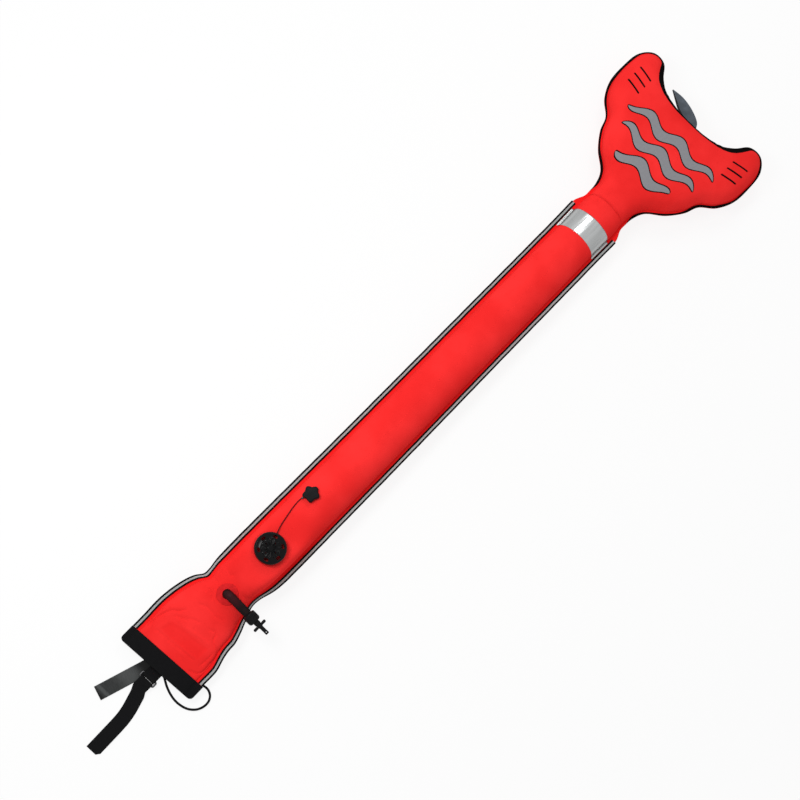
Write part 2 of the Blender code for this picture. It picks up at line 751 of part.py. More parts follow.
def cylinder_cutter(name, radius, depth, place, tilt=0.0, sides=24):
    bpy.ops.mesh.primitive_cylinder_add(vertices=sides, radius=radius, depth=depth, location=place,
                                        rotation=(math.radians(tilt), 0.0, 0.0))
    item = bpy.context.object
    item.name = name
    return item


def coil(name, radius, wire, bottom, top, turns, place, tilt, material):
    """Helical spring round the local Z axis."""
    count = int(turns * 10)
    points = []
    for k in range(count + 1):
        part = k / count
        angle = 2.0 * math.pi * turns * part
        points.append((radius * math.cos(angle), radius * math.sin(angle), bottom + (top - bottom) * part))
    item = tube(name, points, wire, material, resolution=1)
    item.location = place
    item.rotation_euler = (math.radians(tilt), 0.0, 0.0)
    return item


def ring_patch(name, centre, inner, outer, side, lift, thickness, material):
    """Ring that follows the front panel, outside it or under it."""
    rows = []
    for step in range(3):
        radius = inner + (outer - inner) * step / 2.0
        row = []
        for k in range(25):
            angle = 2.0 * math.pi * k / 24.0
            distance = centre[0] + radius * math.cos(angle)
            y = centre[1] + radius * math.sin(angle)
            row.append((along_x(distance), y, faceted_z(distance, y, lift)))
        rows.append(row)
    mesh = bmesh.new()
    grid = [[mesh.verts.new(point) for point in row[:-1]] for row in rows]
    for row, following in zip(grid, grid[1:]):
        for k in range(24):
            after = (k + 1) % 24
            mesh.faces.new((row[k], row[after], following[after], following[k]))
    mesh.normal_update()
    face_along(mesh, (0.0, 0.0, side))
    item = add_bmesh(name, mesh, material, smooth=50.0)
    add_solidify(item, thickness)
    return item


def strap(name, path, width, thickness, material):
    """Flat strap along points (x, y, z), with its width level and square to the path."""
    points = [Vector(point) for point in path]
    rings = []
    for index, point in enumerate(points):
        before = points[max(index - 1, 0)]
        after = points[min(index + 1, len(points) - 1)]
        along = (after - before).normalized()
        across = Vector(STRAP_ACROSS[name](point)).normalized()
        up = across.cross(along).normalized()
        sides = ((1, 1), (1, -1), (-1, -1), (-1, 1))
        rings.append([point + across * (width / 2.0 * a) + up * (thickness / 2.0 * b) for a, b in sides])
    return loft(name, rings, material)


def ring_height():
    """World height of the ring's wire, with the tab's top just under the mouth's lower binding."""
    plane, crown = station(0.0)[2:4]
    hem_underside = plane - HALF_GAP - crown - FABRIC - GAP - BAND_THICKNESS
    return hem_underside - HALF_GAP - TAB_THICKNESS - GAP - RING_WIRE


def tail_across(point):
    """The tail strap turns a little towards -Y as it leaves the ring, then straightens."""
    angle = 0.0
    for degrees, start, length in TAIL_TURNS:
        part = min(max((along_x(start) - point.x) / length, 0.0), 1.0)
        angle += math.radians(degrees) * part
    return (-math.sin(angle), math.cos(angle), 0.0)


def loop_across(point):
    angle = math.radians(LOOP_TURN)
    return (-math.sin(angle), math.cos(angle), 0.0)


STRAP_ACROSS = {"tail_strap": tail_across, "loop_strap": loop_across}


def tail_strap():
    """Webbing looped on the ring's far bar and stitched to itself, then lying on the floor."""
    bar = Vector((along_x(RING_X - RING_PITCH), 0.0, ring_height()))
    radius = RING_WIRE + GAP + STRAP_THICKNESS / 2.0
    lap = STRAP_LAP
    path = [bar + Vector((MM - lap, 0.0, -radius)), bar + Vector((-0.4 * lap, 0.0, -radius))]
    for k in range(9):
        angle = math.radians(-90.0 + 22.5 * k)
        path.append(bar + Vector((radius * math.cos(angle), 0.0, radius * math.sin(angle))))
    layers = STRAP_THICKNESS + GAP
    path.append(bar + Vector((-lap / 3.0, 0.0, radius - 0.4 * STRAP_THICKNESS)))
    path.append(bar + Vector((-2.0 * lap / 3.0, 0.0, 1.3 * layers - radius)))
    path.append(bar + Vector((-lap, 0.0, 1.1 * layers - radius)))
    path += [Vector((along_x(x * MM), y * MM, z * MM)) for x, y, z in TAIL_ROUTE]
    return strap("tail_strap", path, WEBBING_WIDTH, STRAP_THICKNESS, BLACK_WEBBING)


def loop_strap():
    """Glossy strap folded double: both ends under the hem's tab and the fold on the floor."""
    half_gap = LOOP_THICKNESS / 2.0 + HALF_GAP
    middle = [Vector((along_x(x * MM), y * MM, z * MM)) for x, y, z in LOOP_ROUTE]
    upper = []
    lower = []
    for index, point in enumerate(middle):
        before = middle[max(index - 1, 0)]
        after = middle[min(index + 1, len(middle) - 1)]
        along = (after - before).normalized()
        across = Vector(loop_across(point))
        up = across.cross(along).normalized()
        if up.z < 0.0:
            up = -up
        upper.append(point + up * half_gap)
        lower.append(point - up * half_gap)
    away = (middle[-1] - middle[-2]).normalized()
    fold_radius = half_gap + HALF_GAP
    fold = []
    for k in range(1, 6):
        angle = math.radians(90.0 - 30.0 * k)
        reach = away * (0.5 * MM + fold_radius * math.cos(angle))
        fold.append(middle[-1] + reach + Vector((0.0, 0.0, fold_radius * math.sin(angle))))
    path = upper + fold + list(reversed(lower))
    return strap("loop_strap", path, WEBBING_WIDTH, LOOP_THICKNESS, GLOSS_STRAP)


def hem_tab():
    """Webbing folded round the ring's near bar, its two layers stitched under the hem."""
    centre = Vector((along_x(RING_X), ring_height()))
    inner = RING_WIRE + GAP
    outer = inner + TAB_THICKNESS
    top = ring_height() + outer
    slab_start = along_x(RING_X) + TAB_BEND
    slab_end = along_x(TAB_REACH)
    slab_bottom = top - 2.0 * TAB_THICKNESS
    turns = [math.radians(90.0 + 15.0 * k) for k in range(13)]
    outside = [centre + Vector((math.cos(a), math.sin(a))) * outer for a in turns]
    outside += [Vector((slab_start, slab_bottom)), Vector((slab_end, slab_bottom)), Vector((slab_end, top))]
    around = [math.radians(20.0 * k) for k in range(18)]
    hole = [centre + Vector((math.cos(a), math.sin(a))) * inner for a in around]
    item = flat_outline("hem_tab", [outside, hole], WEBBING_WIDTH, BLACK_WEBBING)
    item.rotation_euler = (math.radians(90.0), 0.0, 0.0)
    return item


def tail_ring():
    """Rectangular wire ring lying level, its near bar in the tab."""
    half = RING_INNER_WIDTH / 2.0 + RING_WIRE
    corner = RING_CORNER
    points = []
    for x_sign, y_sign, first in ((1, 1, 0.0), (-1, 1, 90.0), (-1, -1, 180.0), (1, -1, 270.0)):
        x = -RING_PITCH / 2.0 + x_sign * (RING_PITCH / 2.0 - corner)
        y = y_sign * (half - corner)
        for k in range(4):
            angle = math.radians(first + 30.0 * k)
            points.append((x + corner * math.cos(angle), y + corner * math.sin(angle), 0.0))
    item = tube("tail_ring", points, RING_WIRE, METAL, resolution=2, cyclic=True)
    item.location = (along_x(RING_X), 0.0, ring_height())
    return item


# Bungee loop on the floor: out of the crimp, round past the hem's corner and back under the hem
BUNGEE_ROUTE = (
    (-1.0, -13.1, 4.6), (-1.0, -16.0, 4.6), (-3.5, -21.0, 3.9), (-8.5, -30.0, 2.7), (-13.0, -42.0, 2.3),
    (-15.6, -55.0, 2.3), (-15.0, -68.0, 2.3), (-11.0, -81.0, 2.3), (-2.5, -91.5, 2.3), (8.5, -97.0, 2.3),
    (20.0, -97.5, 2.3), (29.0, -92.5, 2.3), (33.6, -84.0, 2.3), (33.5, -75.0, 2.3), (29.0, -64.0, 2.3),
    (21.0, -51.0, 2.3), (13.0, -38.5, 2.4), (7.5, -27.5, 3.2), (5.6, -19.5, 4.4), (5.4, -16.0, 4.6),
    (5.4, -13.1, 4.6),
)
# Pull cord over the fabric, from the valve's cap to the ferrule
PULL_ROUTE = (
    (288.0, 16.0, 77.0), (291.0, 17.1, 76.8), (296.0, 18.9, 75.6), (303.0, 20.8, 74.3), (311.0, 22.5, 73.8),
    (320.0, 24.2, 73.1), (329.0, 25.8, 71.5), (338.0, 27.2, 69.4), (346.0, 28.0, 67.9), (353.0, 28.3, 67.3),
    (357.5, 28.0, 67.5), (360.1, 27.5, 68.4),
)


def route_points(route, spacing):
    points = [Vector((along_x(x * MM), y * MM, z * MM)) for x, y, z in route]
    result = curve_through(points, spacing)
    start = points[0] + (points[1] - points[0]).normalized() * 1.0 * MM
    end = points[-1] + (points[-2] - points[-1]).normalized() * 1.0 * MM
    return [points[0], start] + result[1:-1] + [end, points[-1]]


def bungee():
    tube("bungee_loop", route_points(BUNGEE_ROUTE, 6.0 * MM), BUNGEE_RADIUS, BLACK_CORD, resolution=2)
    mesh = bmesh.new()
    bmesh.ops.create_cube(mesh, size=1.0)
    bmesh.ops.scale(mesh, vec=Vector(CRIMP_SIZE) * MM, verts=mesh.verts[:])
    bmesh.ops.bevel(mesh, geom=mesh.edges[:], offset=0.8 * MM, segments=2, affect="EDGES", profile=0.5)
    item = add_bmesh("bungee_crimp", mesh, METAL)
    tab_underside = ring_height() + RING_WIRE + GAP - TAB_THICKNESS
    height = tab_underside - GAP - CRIMP_SIZE[2] * MM / 2.0
    item.location = (along_x(CRIMP_PLACE[0] * MM), CRIMP_PLACE[1] * MM, height)
    return item


def valve_height():
    """World height of the front panel's outer face at the dump valve."""
    return fabric_z(VALVE_X, station(VALVE_X)[0], 1.0, FABRIC)


def dump_valve(front):
    place = (along_x(VALVE_X), VALVE_Y, valve_height())
    neck, bore, seat = VALVE_NECK_RADIUS, VALVE_BORE_RADIUS, VALVE_SEAT_RADIUS
    hole = cylinder_cutter("valve_hole", neck + VALVE_RUNNING, 14.0 * MM, place)
    cut(front, hole)
    seat_edge = seat + VALVE_WALL
    flange_low = VALVE_FLANGE_TOP - 0.8 * VALVE_WALL
    base = turned("valve_base", (
        (neck, VALVE_NECK_TOP), (neck, VALVE_FLANGE_TOP), (VALVE_FLANGE_RADIUS, VALVE_FLANGE_TOP),
        (VALVE_FLANGE_RADIUS, flange_low), (bore, flange_low),
        (bore, VALVE_WEB_LOW), (seat, VALVE_WEB_LOW), (seat, VALVE_SEAT_TOP), (seat_edge, VALVE_SEAT_TOP),
        (seat_edge, VALVE_WEB_HIGH), (bore, VALVE_WEB_HIGH), (bore, VALVE_NECK_TOP)),
        RED_PLASTIC, place, steps=28)
    hub_inner = VALVE_STEM_RADIUS + GAP
    hub_outer = hub_inner + 1.5 * VALVE_WALL
    hub = turned("valve_hub", (
        (hub_outer, VALVE_WEB_HIGH), (hub_outer, VALVE_WEB_LOW), (hub_inner, VALVE_WEB_LOW),
        (hub_inner, VALVE_WEB_HIGH)), RED_PLASTIC, place, steps=16)
    cut(base, hub, "UNION")
    for k in range(3):
        angle = 2.0 * math.pi * k / 3.0
        reach = (hub_inner + seat + 2.0 * MM) / 2.0
        bpy.ops.mesh.primitive_cube_add(size=1.0, location=(
            place[0] + reach * math.cos(angle), place[1] + reach * math.sin(angle),
            place[2] + (VALVE_WEB_LOW + VALVE_WEB_HIGH) / 2.0), rotation=(0.0, 0.0, angle))
        arm = bpy.context.object
        arm.name = f"valve_arm_{k + 1}"
        arm.scale = (seat - hub_inner, 2.6 * MM, 0.8 * VALVE_WALL)
        cut(base, arm, "UNION")
    gasket_outer = VALVE_CAP_RADIUS - GAP
    gasket_inner = neck + VALVE_RUNNING
    turned("valve_gasket", (
        (gasket_outer, GASKET_TOP), (gasket_outer, GAP), (gasket_inner, GAP), (gasket_inner, GASKET_TOP)),
        SOFT_RUBBER, place, steps=32)
    seal_top = SEAL_LOW + SEAL_THICKNESS
    turned("valve_seal", (
        (VALVE_SEAL_RADIUS, seal_top), (VALVE_SEAL_RADIUS, SEAL_LOW), (hub_inner, SEAL_LOW),
        (hub_inner, seal_top)), SOFT_RUBBER, place)
    boss_top = POPPET_TOP + POPPET_BOSS_HEIGHT
    turned("valve_poppet", (
        (0.0, boss_top), (POPPET_BOSS_RADIUS, boss_top), (POPPET_BOSS_RADIUS, POPPET_TOP),
        (VALVE_DISC_RADIUS, POPPET_TOP), (VALVE_DISC_RADIUS, POPPET_LOW), (VALVE_STEM_RADIUS, POPPET_LOW),
        (VALVE_STEM_RADIUS, POPPET_STEM_END), (0.0, POPPET_STEM_END)), RED_PLASTIC, place)
    spring_seat = DUMP_SPRING_WIRE + SPRING_CLEARANCE
    coil("valve_spring", DUMP_SPRING_RADIUS, DUMP_SPRING_WIRE, POPPET_TOP + spring_seat,
         CAP_UNDER - spring_seat, 4.0, place, 0.0, METAL)
    shoulder = CAP_SHOULDER
    cap = turned("valve_cap", (
        (0.0, CAP_HEIGHT), (VALVE_CAP_RADIUS - 6.0 * MM, CAP_HEIGHT),
        (VALVE_CAP_RADIUS - shoulder, CAP_HEIGHT - 0.45 * shoulder),
        (VALVE_CAP_RADIUS, CAP_HEIGHT - 1.64 * shoulder),
        (VALVE_CAP_RADIUS, CAP_LOW), (gasket_inner, CAP_LOW), (gasket_inner, CAP_UNDER), (0.0, CAP_UNDER)),
        BLACK_PLASTIC, place, steps=32)
    for k in range(WINDOW_COUNT):
        angle = math.radians(WINDOW_FIRST + 360.0 * k / WINDOW_COUNT)
        bpy.ops.mesh.primitive_cube_add(size=1.0, location=(
            place[0] + WINDOW_RADIUS * math.cos(angle), place[1] + WINDOW_RADIUS * math.sin(angle),
            place[2] + CAP_HEIGHT), rotation=(0.0, 0.0, angle))
        window = bpy.context.object
        window.name = f"cap_window_{k + 1}"
        window.scale = (WINDOW_WIDTH, WINDOW_LENGTH, 4.0 * CAP_WALL)
        cut(cap, window)


def pull():
    tube("pull_cord", route_points(PULL_ROUTE, 4.0 * MM), CORD_RADIUS, BLACK_CORD, resolution=2)
    height = fabric_z(KNOB_X, KNOB_Y, 1.0, FABRIC) + KNOB_STANDOFF
    centre = Vector((along_x(KNOB_X), KNOB_Y, height))
    end = route_points(PULL_ROUTE, 4.0 * MM)[-1]
    turn = Matrix.Rotation(math.radians(-KNOB_TILT), 4, "X")
    outline = []
    for k in range(40):
        angle = 2.0 * math.pi * k / 40.0
        radius = KNOB_RADIUS * (0.82 + 0.18 * math.cos(5.0 * angle))
        outline.append((radius * math.cos(angle), radius * math.sin(angle)))
    knob = flat_outline("pull_knob", [outline], KNOB_THICKNESS, BLACK_PLASTIC)
    knob.matrix_world = Matrix.Translation(centre) @ turn
    inward = (centre - end).normalized()
    start = end + inward * GAP
    tube("cord_ferrule", [start, start + inward * FERRULE_LENGTH], FERRULE_RADIUS, METAL, resolution=2)


def inflator_height():
    """World height of the inflator's axis over the fabric that its hose is welded through."""
    return fabric_z(INFLATOR_X, INFLATOR_Y, 1.0, FABRIC) + INFLATOR_STANDOFF


def inflator_hose_path():
    x = along_x(INFLATOR_X)
    z = inflator_height()
    top = z + ELBOW_RISE
    foot = fabric_z(INFLATOR_X, INFLATOR_Y) - HOSE_FOOT
    points = [Vector((x, INFLATOR_Y, foot)), Vector((x, INFLATOR_Y, top - ELBOW_BEND))]
    for k in range(1, 6):
        angle = math.radians(18.0 * k)
        y = INFLATOR_Y - ELBOW_BEND * (1.0 - math.cos(angle))
        points.append(Vector((x, y, top - ELBOW_BEND * (1.0 - math.sin(angle)))))
    start = INFLATOR_Y - ELBOW_BEND - 6.0 * MM
    end = -HOSE_END + 11.5 * MM
    for k in range(8):
        part = k / 7.0
        ease = part * part * (3.0 - 2.0 * part)
        points.append(Vector((x, start + (end - start) * part, top + (z - top) * ease)))
    points.append(Vector((x, -HOSE_END, z)))
    return points


def inflator(front):
    x = along_x(INFLATOR_X)
    height = inflator_height()
    path = inflator_hose_path()
    hole_place = (x, INFLATOR_Y, fabric_z(INFLATOR_X, INFLATOR_Y))
    cut(front, cylinder_cutter("hose_hole", HOSE_RADIUS + GAP, 16.0 * MM, hole_place))
    hose = to_mesh_object(tube("inflator_hose", path, HOSE_RADIUS, BLACK_RUBBER, resolution=4))
    past_start = path[0] + Vector((0.0, 0.0, -2.0 * MM))
    past_end = path[-1] + Vector((0.0, -2.0 * MM, 0.0))
    bore_path = [past_start] + path[1:-1] + [past_end]
    cut(hose, to_mesh_object(tube("hose_bore", bore_path, HOSE_BORE, None, resolution=3)))
    centre = (INFLATOR_X, INFLATOR_Y)
    inner = HOSE_RADIUS + 2.0 * GAP
    patch_lift = FABRIC + 2.0 * GAP
    ring_patch("inflator_patch", centre, inner, PATCH_RADIUS, 1.0, patch_lift, 0.7 * MM, PATCH_FILM)
    ring_lift = -1.5 * GAP
    ring_patch("inflator_base_ring", centre, inner, BASE_RING_RADIUS, -1.0, ring_lift, 0.9 * MM, BLACK_RUBBER)
    axis = (x, 0.0, height)

    def turned_y(name, profile, material, steps=16):
        return turned(name, profile, material, axis, tilt=90.0, steps=steps)

    body_radius = HOSE_RADIUS
    chamber = STEM_NECK_RADIUS + GAP
    spigot = SPIGOT_RADIUS
    body_start = HOSE_END + GAP
    body_end = COLLAR_END - 2.6 * MM
    web_start = HOSE_END + 1.7 * MM
    web_end = web_start + 1.5 * MM
    spigot_start = HOSE_END - 9.8 * MM
    spigot_floor = spigot_start + 1.0 * MM
    turned_y("inflator_body", (
        (chamber, body_end), (body_radius, body_end), (body_radius, body_start), (spigot, body_start),
        (spigot, spigot_start), (GAS_HOLE, spigot_start), (GAS_HOLE, spigot_floor),
        (SPIGOT_BORE, spigot_floor), (SPIGOT_BORE, web_start), (SEAT_HOLE, web_start),
        (SEAT_HOLE, web_end), (chamber, web_end)), BLACK_PLASTIC)
    collar_inner = body_radius + GAP
    collar_mouth = STEM_NECK_RADIUS + VALVE_RUNNING
    chamfer = 1.6 * MM
    chamfer_length = 2.2 * MM
    turned_y("locking_collar", (
        (collar_mouth, COLLAR_END), (COLLAR_RADIUS - chamfer, COLLAR_END),
        (COLLAR_RADIUS, COLLAR_END - chamfer_length), (COLLAR_RADIUS, COLLAR_START + chamfer_length),
        (COLLAR_RADIUS - chamfer, COLLAR_START), (collar_inner, COLLAR_START), (collar_inner, body_end + GAP),
        (collar_mouth, body_end + GAP)), BLACK_PLASTIC, steps=24)
    shoulder = 4.0 * MM
    stem = turned_y("inflator_stem", (
        (0.0, NOZZLE_END), (NOZZLE_RADIUS - 0.6 * MM, NOZZLE_END), (NOZZLE_RADIUS, NOZZLE_END - 0.8 * MM),
        (NOZZLE_RADIUS, NOZZLE_END - 14.0 * MM), (shoulder, NOZZLE_END - 16.0 * MM),
        (shoulder, CROSSBAR_AT - 2.5 * MM), (STEM_NECK_RADIUS, CROSSBAR_AT - 3.5 * MM),
        (STEM_NECK_RADIUS, STEM_START), (0.0, STEM_START)), BLACK_PLASTIC)
    bar_place = (x, -CROSSBAR_AT, height)
    bar = cylinder_cutter("stem_crossbar", CROSSBAR_RADIUS, CROSSBAR_LENGTH, bar_place, sides=12)
    bar.rotation_euler = (0.0, math.radians(90.0), 0.0)
    bevel = bar.modifiers.new("round", "BEVEL")
    bevel.width = 1.2 * MM
    bevel.segments = 1
    cut(stem, bar, "UNION")
    bore_start = STEM_START + 3.0 * MM
    bore_length = NOZZLE_END + 2.0 * MM - bore_start
    bore_middle = (x, -bore_start - bore_length / 2.0, height)
    cut(stem, cylinder_cutter("stem_bore", NOZZLE_BORE, bore_length, bore_middle, tilt=90.0, sides=12))
    port_place = (x, -bore_start - 2.2 * MM, height)
    cut(stem, cylinder_cutter("stem_port", 1.3 * MM, 14.0 * MM, port_place, sides=8))
    slot = cylinder_cutter("nozzle_slot", 1.2 * MM, 9.0 * MM, (x, -NOZZLE_END + 4.0 * MM, height), sides=12)
    slot.scale = (1.0, 1.8, 1.0)
    cut(stem, slot)
    washer_face = web_start - GAP
    washer_back = washer_face - WASHER_THICKNESS
    turned_y("inflator_washer", (
        (WASHER_RADIUS, washer_face), (WASHER_RADIUS, washer_back), (WASHER_HOLE, washer_back),
        (WASHER_HOLE, washer_face)), SOFT_RUBBER)
    disc = washer_back - GAP
    disc_back = disc - 1.0 * MM
    pin = WASHER_HOLE - GAP
    pin_end = STEM_START - GAP
    turned_y("inflator_poppet", (
        (0.0, pin_end), (pin, pin_end), (pin, disc), (WASHER_RADIUS, disc),
        (WASHER_RADIUS, disc_back), (0.0, disc_back)), METAL)
    spring_seat = INFLATOR_SPRING_WIRE + SPRING_CLEARANCE
    coil("inflator_spring", INFLATOR_SPRING_RADIUS, INFLATOR_SPRING_WIRE, spigot_floor + spring_seat,
         disc_back - spring_seat, 4.0, axis, 90.0, METAL)


clear_scene()
PARTS = make_collection(NAME)
CUTTERS = make_collection("cutters")
RED_FABRIC = make_material("red_fabric", RED, 0.45)
BLACK_WEBBING = make_material("black_webbing", BLACK, 0.85)
TAPE = make_material("edge_tape", GREY, 0.6)
SILVER_BAND = make_material("reflective_silver", SILVER, 0.3, 0.6)
FIN_GREY = make_material("fin_grey", (0.12, 0.14, 0.16), 0.5)
BAFFLE_FILM = make_material("baffle_film", (0.6, 0.03, 0.03), 0.5)
METAL = make_material("steel", STEEL, 0.3, 1.0)
GLOSS_STRAP = make_material("gloss_strap", (0.03, 0.03, 0.03), 0.25)
BLACK_CORD = make_material("black_cord", BLACK, 0.8)
BLACK_PLASTIC = make_material("black_plastic", (0.015, 0.016, 0.016), 0.35)
RED_PLASTIC = make_material("red_plastic", (0.55, 0.02, 0.02), 0.4)
SOFT_RUBBER = make_material("soft_rubber", (0.02, 0.02, 0.02), 0.7)
BLACK_RUBBER = make_material("black_rubber", (0.02, 0.017, 0.02), 0.5)
PATCH_FILM = make_material("patch_film", (0.5, 0.02, 0.02), 0.35)

HEAD = head_mesh(crown_line(NECK))
front_panel = panel("front_panel", 1.0, HEAD)
panel("back_panel", -1.0, HEAD)
edge_trim("left_edge_trim", 1.0)
edge_trim("right_edge_trim", -1.0)
hem_band("hem_band_front", 1.0)
hem_band("hem_band_back", -1.0)
baffle("baffle_front", 1.0)
baffle("baffle_back", -1.0)
reflective_band()
head_fin()
hem_tab()
tail_ring()
tail_strap()
loop_strap()
bungee()
dump_valve(front_panel)
pull()
inflator(front_panel)
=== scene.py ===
"""Inflated surface marker buoy: its visible pieces, materials, light and camera round the CAD frame.

Lengths along the bag are counted from the hem's edge, and along_x turns one into a world X.
"""
import math

import bmesh
import bpy
import numpy as np
from mathutils import Matrix, Vector, geometry


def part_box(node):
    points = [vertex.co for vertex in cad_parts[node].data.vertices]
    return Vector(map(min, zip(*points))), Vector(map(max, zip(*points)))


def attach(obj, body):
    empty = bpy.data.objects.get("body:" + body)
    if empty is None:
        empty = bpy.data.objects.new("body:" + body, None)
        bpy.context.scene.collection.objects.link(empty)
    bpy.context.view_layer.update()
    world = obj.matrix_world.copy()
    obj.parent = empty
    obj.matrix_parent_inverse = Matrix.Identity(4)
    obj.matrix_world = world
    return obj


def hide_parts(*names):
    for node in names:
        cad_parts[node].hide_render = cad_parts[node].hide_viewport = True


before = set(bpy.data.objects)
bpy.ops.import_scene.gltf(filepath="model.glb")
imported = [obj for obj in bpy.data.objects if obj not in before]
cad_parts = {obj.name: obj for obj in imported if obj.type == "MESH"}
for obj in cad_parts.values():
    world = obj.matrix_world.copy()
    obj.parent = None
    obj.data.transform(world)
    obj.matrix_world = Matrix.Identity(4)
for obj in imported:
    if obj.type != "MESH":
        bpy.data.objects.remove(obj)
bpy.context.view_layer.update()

bl_info = {
    "name": "Surface Marker Buoy",
    "version": (1, 0, 0),
    "blender": (4, 5, 0),
    "location": "3D View > Sidebar > Marker Buoy",
    "description": "Builds the visible pieces of an inflated surface marker buoy round its CAD frame",
    "category": "Object",
}

MM = 0.001
TURN = 2.0 * math.pi
UP = (0.0, 0.0, 1.0)
# Way out along the inflator, from the hose to the nozzle
OUTWARD = (0.0, -1.0, 0.0)

# Sizes of the CAD model that the pieces follow
FABRIC = 0.8 * MM
GAP = 0.3 * MM
HALF_GAP = GAP / 2.0
WELD_WIDTH = 6.5 * MM
TAPE_SIDE = 15 * MM
TAPE_HALF_THICKNESS = 1.75 * MM
TAPE_WALL = 0.5 * MM
TAPE_FOLD = 1.7 * MM
FABRIC_IN_TAPE = 13 * MM
NECK = 1132 * MM
BAND_DEPTH = 28 * MM
BAND_LIP = 1.5 * MM
BAND_OVERHANG = 2.2 * MM
TAPE_END = NECK - 31 * MM
SILVER_END = TAPE_END - 11 * MM
SILVER_WIDTH = 44 * MM
HEM_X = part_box("front_panel")[0].x

# Side profile of the tube: distance from the hem, centre offset, half width, height of the underside,
# crown height and flatness, then the same from the neck, all in millimetres
TUBE_PROFILE = (
    (0, 2.9, 61.8, 11.35, 3.7, 3.0), (30, 3.5, 61.2, 11.45, 3.9, 3.0), (60, 3.7, 61.2, 10.45, 6.8, 2.2),
    (85, 7.1, 58.3, 8.95, 10.6, 1.6), (101, 7.8, 56.0, 7.45, 14.0, 1.2), (117, 6.9, 54.3, 6.05, 17.4, 1.0),
    (134, 7.3, 49.7, 4.85, 20.8, 0.8), (150, 6.8, 43.6, 4.05, 23.5, 0.8), (163, 4.0, 37.6, 3.45, 25.3, 1.0),
    (173, 6.0, 36.2, 2.95, 26.7, 1.2), (186, 7.3, 36.6, 2.35, 28.5, 1.5), (200, 6.5, 37.3, 1.65, 31.2, 1.9),
    (216, 5.1, 39.0, 0.55, 33.9, 2.3), (238, 4.1, 40.1, 0.0, 35.5, 2.6), (290, 3.4, 40.6, 0.0, 35.5, 2.6),
    (350, 3.0, 40.4, 0.0, 35.5, 0.3), (520, 1.6, 40.1, 0.0, 35.5, 0.05),
)
NECK_PROFILE = (
    (-341, 0.8, 39.8, 0.0, 35.5, 0.05), (-86, 0.0, 40.0, 0.0, 35.5, 0.05), (-31, 0.0, 40.6, 0.6, 34.9, 0.4),
    (-16, 0.0, 40.2, 1.7, 33.8, 0.7), (0, 0.0, 38.2, 4.0, 31.5, 0.916),
)
# Half of the head's outline: distance from the neck and from the middle line in millimetres
HEAD_OUTLINE = (
    (26, 46.5), (50, 57), (74, 86), (104, 108), (132, 119), (156, 144), (190, 160), (230, 163),
    (270, 159), (295, 139), (294, 112), (270, 92), (251, 66), (242, 34), (240, 0),
)
HEAD_FULLNESS = 43.5 * MM
HEAD_LIFT = 8 * MM
HEAD_LIFT_LENGTH = 100 * MM

# Folds and creases: points from the hem and from the middle line, then depth and width, in millimetres
CREASES = (
    (((38, 61), (53, 61), (66, 59), (76, 56), (85, 50), (93, 40), (104, 33)), 1.1, 1.7),
    (((80, 46), (85, 33), (90, 25), (97, 15), (100, 4), (106, 2)), 0.8, 1.4),
    (((81, 42), (79, 23), (80, 9), (83, -8), (85, -24), (84, -37)), -0.6, 1.6),
    (((105, -9), (103, -16), (107, -23), (104, -29), (95, -32), (90, -40), (88, -49), (81, -52)), 0.9, 1.5),
    (((84, -46), (69, -47), (54, -46), (46, -45)), 0.7, 1.4),
    (((77, -54), (62, -55), (51, -56), (42, -54), (36, -47), (32, -33)), 1.0, 1.6),
    (((47, 52), (48, 35), (49, 15), (49, -4), (50, -21), (50, -36)), 0.7, 1.5),
    (((41, 1), (41, -11), (38, -24)), 0.5, 1.3),
    (((118, 30), (126, 12), (124, -8), (133, -26)), 0.6, 2.2),
    (((150, 36), (146, 22), (136, 14)), 0.9, 2.0),
    (((190, -32), (178, -20), (182, -8)), 0.9, 2.2),
    (((196, 40), (188, 26), (192, 14)), 0.8, 2.2),
)
POCKET = np.array(((50, 47), (73, 39), (77, 12), (81, -37), (54, -37), (49, 21))) * MM
NECK_CREASES = (
    (((1136, 33), (1144, 18), (1147, 0), (1144, -18), (1136, -33)), 0.8, 2.4),
    (((1162, 44), (1172, 24), (1176, 0), (1172, -24), (1162, -44)), 0.5, 3.0),
)

# Rows of the flat weld, as distances in from the fabric's edge in millimetres, and steps over the crown
WELD_ROWS = (0.0, 1.6, 3.2, 4.8, 6.5)
CROWN_STEPS = 76

# Routes in millimetres: distance from the hem, y and height
BUNGEE_ROUTE = (
    (-1, -11.4, 4.6), (-1, -16, 4.6), (-3.5, -21, 3.9), (-8.5, -30, 2.7), (-13, -42, 2.3),
    (-15.6, -55, 2.3), (-15, -68, 2.3), (-11, -81, 2.3), (-2.5, -91.5, 2.3), (8.5, -97, 2.3),
    (20, -97.5, 2.3), (29, -92.5, 2.3), (33.6, -84, 2.3), (33.5, -75, 2.3), (29, -64, 2.3),
    (21, -51, 2.3), (13, -38.5, 2.4), (7.5, -27.5, 3.2), (5.6, -19.5, 4.4), (5.4, -16, 4.6),
    (5.4, -11.4, 4.6),
)
PULL_ROUTE = (
    (284.1, 14.6, 77.1), (288, 16, 77), (291, 17.1, 76.8), (296, 18.9, 75.6), (303, 20.8, 74.3),
    (311, 22.5, 73.8), (320, 24.2, 73.1), (329, 25.8, 71.5), (338, 27.2, 69.4), (346, 28, 67.9),
    (353, 28.3, 67.3), (357.5, 28, 67.5), (360.1, 27.5, 68.4),
)
# How far aside of the pull cord its hole and eyelet lie, as room for the cord to slide
PULL_SLIDE_ROOM = -0.5 * MM
TAIL_ROUTE = (
    (-50, -4.6, 3.4), (-62, -8.4, 1.3), (-76, -12.4, 1.1), (-92, -15.3, 1.1), (-108, -16.2, 1.6),
    (-122, -16.4, 3), (-136, -16.6, 2.4), (-150, -16.8, 1.1), (-164, -17, 1.1),
)
